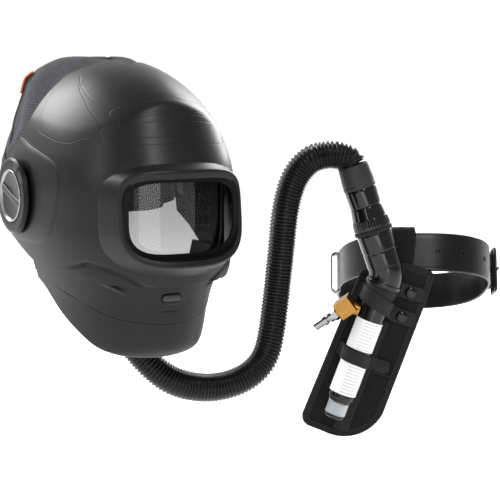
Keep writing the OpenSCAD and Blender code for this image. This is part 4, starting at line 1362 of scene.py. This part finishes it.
def buckle():
    """Bent-wire frame, middle bar and the strap end folded round it."""
    loop = even_loop(rounded([(-20, -29), (20, -29), (20, 29), (-20, 29)], 7, 8, True), 1.5)
    path = [world(BUCKLE, (0.9 * (q[0] / 20) ** 2, q[0], q[1])) for q in loop]
    wire = [(1.75 * math.cos(a), 1.95 * math.sin(a)) for a in np.linspace(0, 2 * math.pi, 16, False)]
    sweep("buckle_wire", path, wire, M["buckle"], "helmet",
          ups=[turned(BUCKLE, (1, 0, 0))] * len(path), closed=True,
          stands_for=["buckle_frame"])
    lathe("buckle_bar", [(-28, 0.01), (-28, 2), (28, 2), (28, 0.01)], BUCKLE, M["buckle"], "helmet",
          round_by=0.4, turns=40)
    for k, z0 in enumerate((-23, 4.5)):
        pts = [(-6.2, 14), (-6.0, 8), (-4.6, 4.4), (-1.5, 3.1)]
        pts += [(3.05 * math.cos(a), 3.05 * math.sin(a)) for a in np.radians(np.linspace(80, -110, 14))]
        pts += [(-3.4, -3.6), (-5.2, -6), (-5.9, -12)]
        path = [world(BUCKLE, (x, y, z0 + 9.25)) for x, y in pts]
        path, _ = smooth_path(path, 60)
        z_axis = turned(BUCKLE, (0, 0, 1))
        t = np.gradient(path, axis=0)
        ups = [unit(np.cross(z_axis, v)) for v in t]
        sweep(f"buckle_loop_{k}", path, strap_section(18.5, 1.7), M["leather"], "helmet", ups=ups,
              stands_for=["buckle_fold"] if k == 0 else ())


buckle()


# ---------- headgear pads ----------

HEAD = Matrix.Rotation(math.radians(-10), 4, "X")


def crowned_pad(name, node, t0, t1, z0, height, grow, thick):
    """Soft pad inside the headband, crowned and pulled in at three sewn channels."""
    cols, rows = 72, 24
    verts, uv = [], []
    for i in range(cols):
        s = i / (cols - 1)
        t = math.radians(t0 + (t1 - t0) * s)
        end = math.sin(math.pi * s) ** 0.4
        channel = 1 - 0.5 * sum(hill(s, c, 0.022) for c in (0.27, 0.5, 0.73))
        for j in range(rows):
            a = 2 * math.pi * j / rows
            c, q = math.cos(a), math.sin(a)
            z = z0 + height / 2 + (height / 2 - 0.5) * math.copysign(abs(q) ** 0.7, q) * (0.6 + 0.4 * end)
            fat = thick * 0.5 * (0.25 + 0.75 * end * channel)
            w = grow + thick / 2 - fat * math.copysign(abs(c) ** 0.8, c) * (1 if c > 0 else 0.9)
            p = ((78 + w) * math.cos(t), 6 + (98 + w) * math.sin(t), z)
            verts.append(world(HEAD, p))
            uv.append((i * 2 * MM, j * 2.4 * MM))
    piece = put(name, verts, tube_faces(cols, rows), M["pad"], "headgear", [node], uv=uv)
    outward(piece)


crowned_pad("brow_cushion", "brow_pad", -135, -45, 34, 28, -7, 6.6)
crowned_pad("rear_cushion", "rear_pad", 50, 130, 34, 28, -6, 5.6)


# ---------- CAD pieces that keep their shape ----------

KEPT = {"filter_frame": "inner", "inner_frame": "inner", "side_plate_right": "inner",
        "side_plate_left": "inner", "visor_seal": "seal", "pivot_bolts": "steel", "air_duct": "duct",
        "duct_socket": "duct",
        "headband": "band", "pivot_arms": "band", "crown_straps": "band", "ratchet_housing": "band",
        "ratchet_knob": "hub", "ratchet_pinion": "steel", "vortex_generator": "brass", "end_plug": "cap",
        "valve_stem": "steel", "brass_fitting": "brass", "air_plug": "nickel", "buckle_prong": "buckle"}
for node, word in KEPT.items():
    piece = frame["nodes"][node]
    mat = M[word]
    if not piece.material_slots:
        piece.data.materials.append(mat)
    for s in piece.material_slots:
        s.material = mat


# ---------- floor and light ----------

floor_z = CAD_BOX[0][2] - FLOOR_GAP
bpy.ops.mesh.primitive_circle_add(vertices=96, radius=14, fill_type="NGON", location=(0.15, 0, floor_z))
floor = bpy.context.object
floor.name = "floor"
floor.data.materials.append(M["floor"])


def light(name, place, aim, size, watts):
    data = bpy.data.lights.new(name, "AREA")
    data.shape = "RECTANGLE"
    data.size, data.size_y = size
    data.energy = watts
    lamp = bpy.data.objects.new(name, data)
    bpy.context.collection.objects.link(lamp)
    lamp.location = place
    lamp.rotation_euler = (Vector(aim) - Vector(place)).to_track_quat("-Z", "Y").to_euler()


light("back_left", (-1.0, 1.9, 1.5), (-0.02, 0, 0.06), (1.3, 1.1), 62)
light("key_left", (-2.1, -0.2, 0.9), (-0.05, 0, 0.02), (0.5, 1.4), 11)
light("strip_left", (-1.3, -1.5, 0.5), (0.35, -0.07, -0.05), (0.06, 1.2), 4)
light("rim_right", (1.7, 0.9, 0.9), (0.15, -0.05, 0.0), (0.8, 1.4), 36)
light("front_low", (-0.5, -2.0, -0.22), (0.0, -0.17, -0.06), (1.0, 0.3), 3)
light("strip_belt", (0.0, -1.3, 1.3), (0.45, -0.05, -0.13), (0.12, 1.0), 14)

# Sky like a lit white backdrop behind the part, with the room in front of it dimmer
sky = bpy.data.worlds.new("studio")
bpy.context.scene.world = sky
sky.use_nodes = True
sky_nodes, sky_links = sky.node_tree.nodes, sky.node_tree.links
backdrop = sky_nodes["Background"]
backdrop.inputs["Color"].default_value = (1, 1, 1, 1)
direction = sky_nodes.new("ShaderNodeTexCoord")
towards = sky_nodes.new("ShaderNodeVectorMath")
towards.operation = "DOT_PRODUCT"
towards.inputs[1].default_value = (0.48, 0.83, -0.28)
sky_links.new(direction.outputs["Generated"], towards.inputs[0])
level = sky_nodes.new("ShaderNodeMapRange")
level.interpolation_type = "SMOOTHSTEP"
for key, value in (("From Min", -0.1), ("From Max", 0.85), ("To Min", 0.42), ("To Max", 1.0)):
    level.inputs[key].default_value = value
sky_links.new(towards.outputs["Value"], level.inputs["Value"])
sky_links.new(level.outputs["Result"], backdrop.inputs["Strength"])

bpy.context.scene.view_settings.view_transform = "Standard"
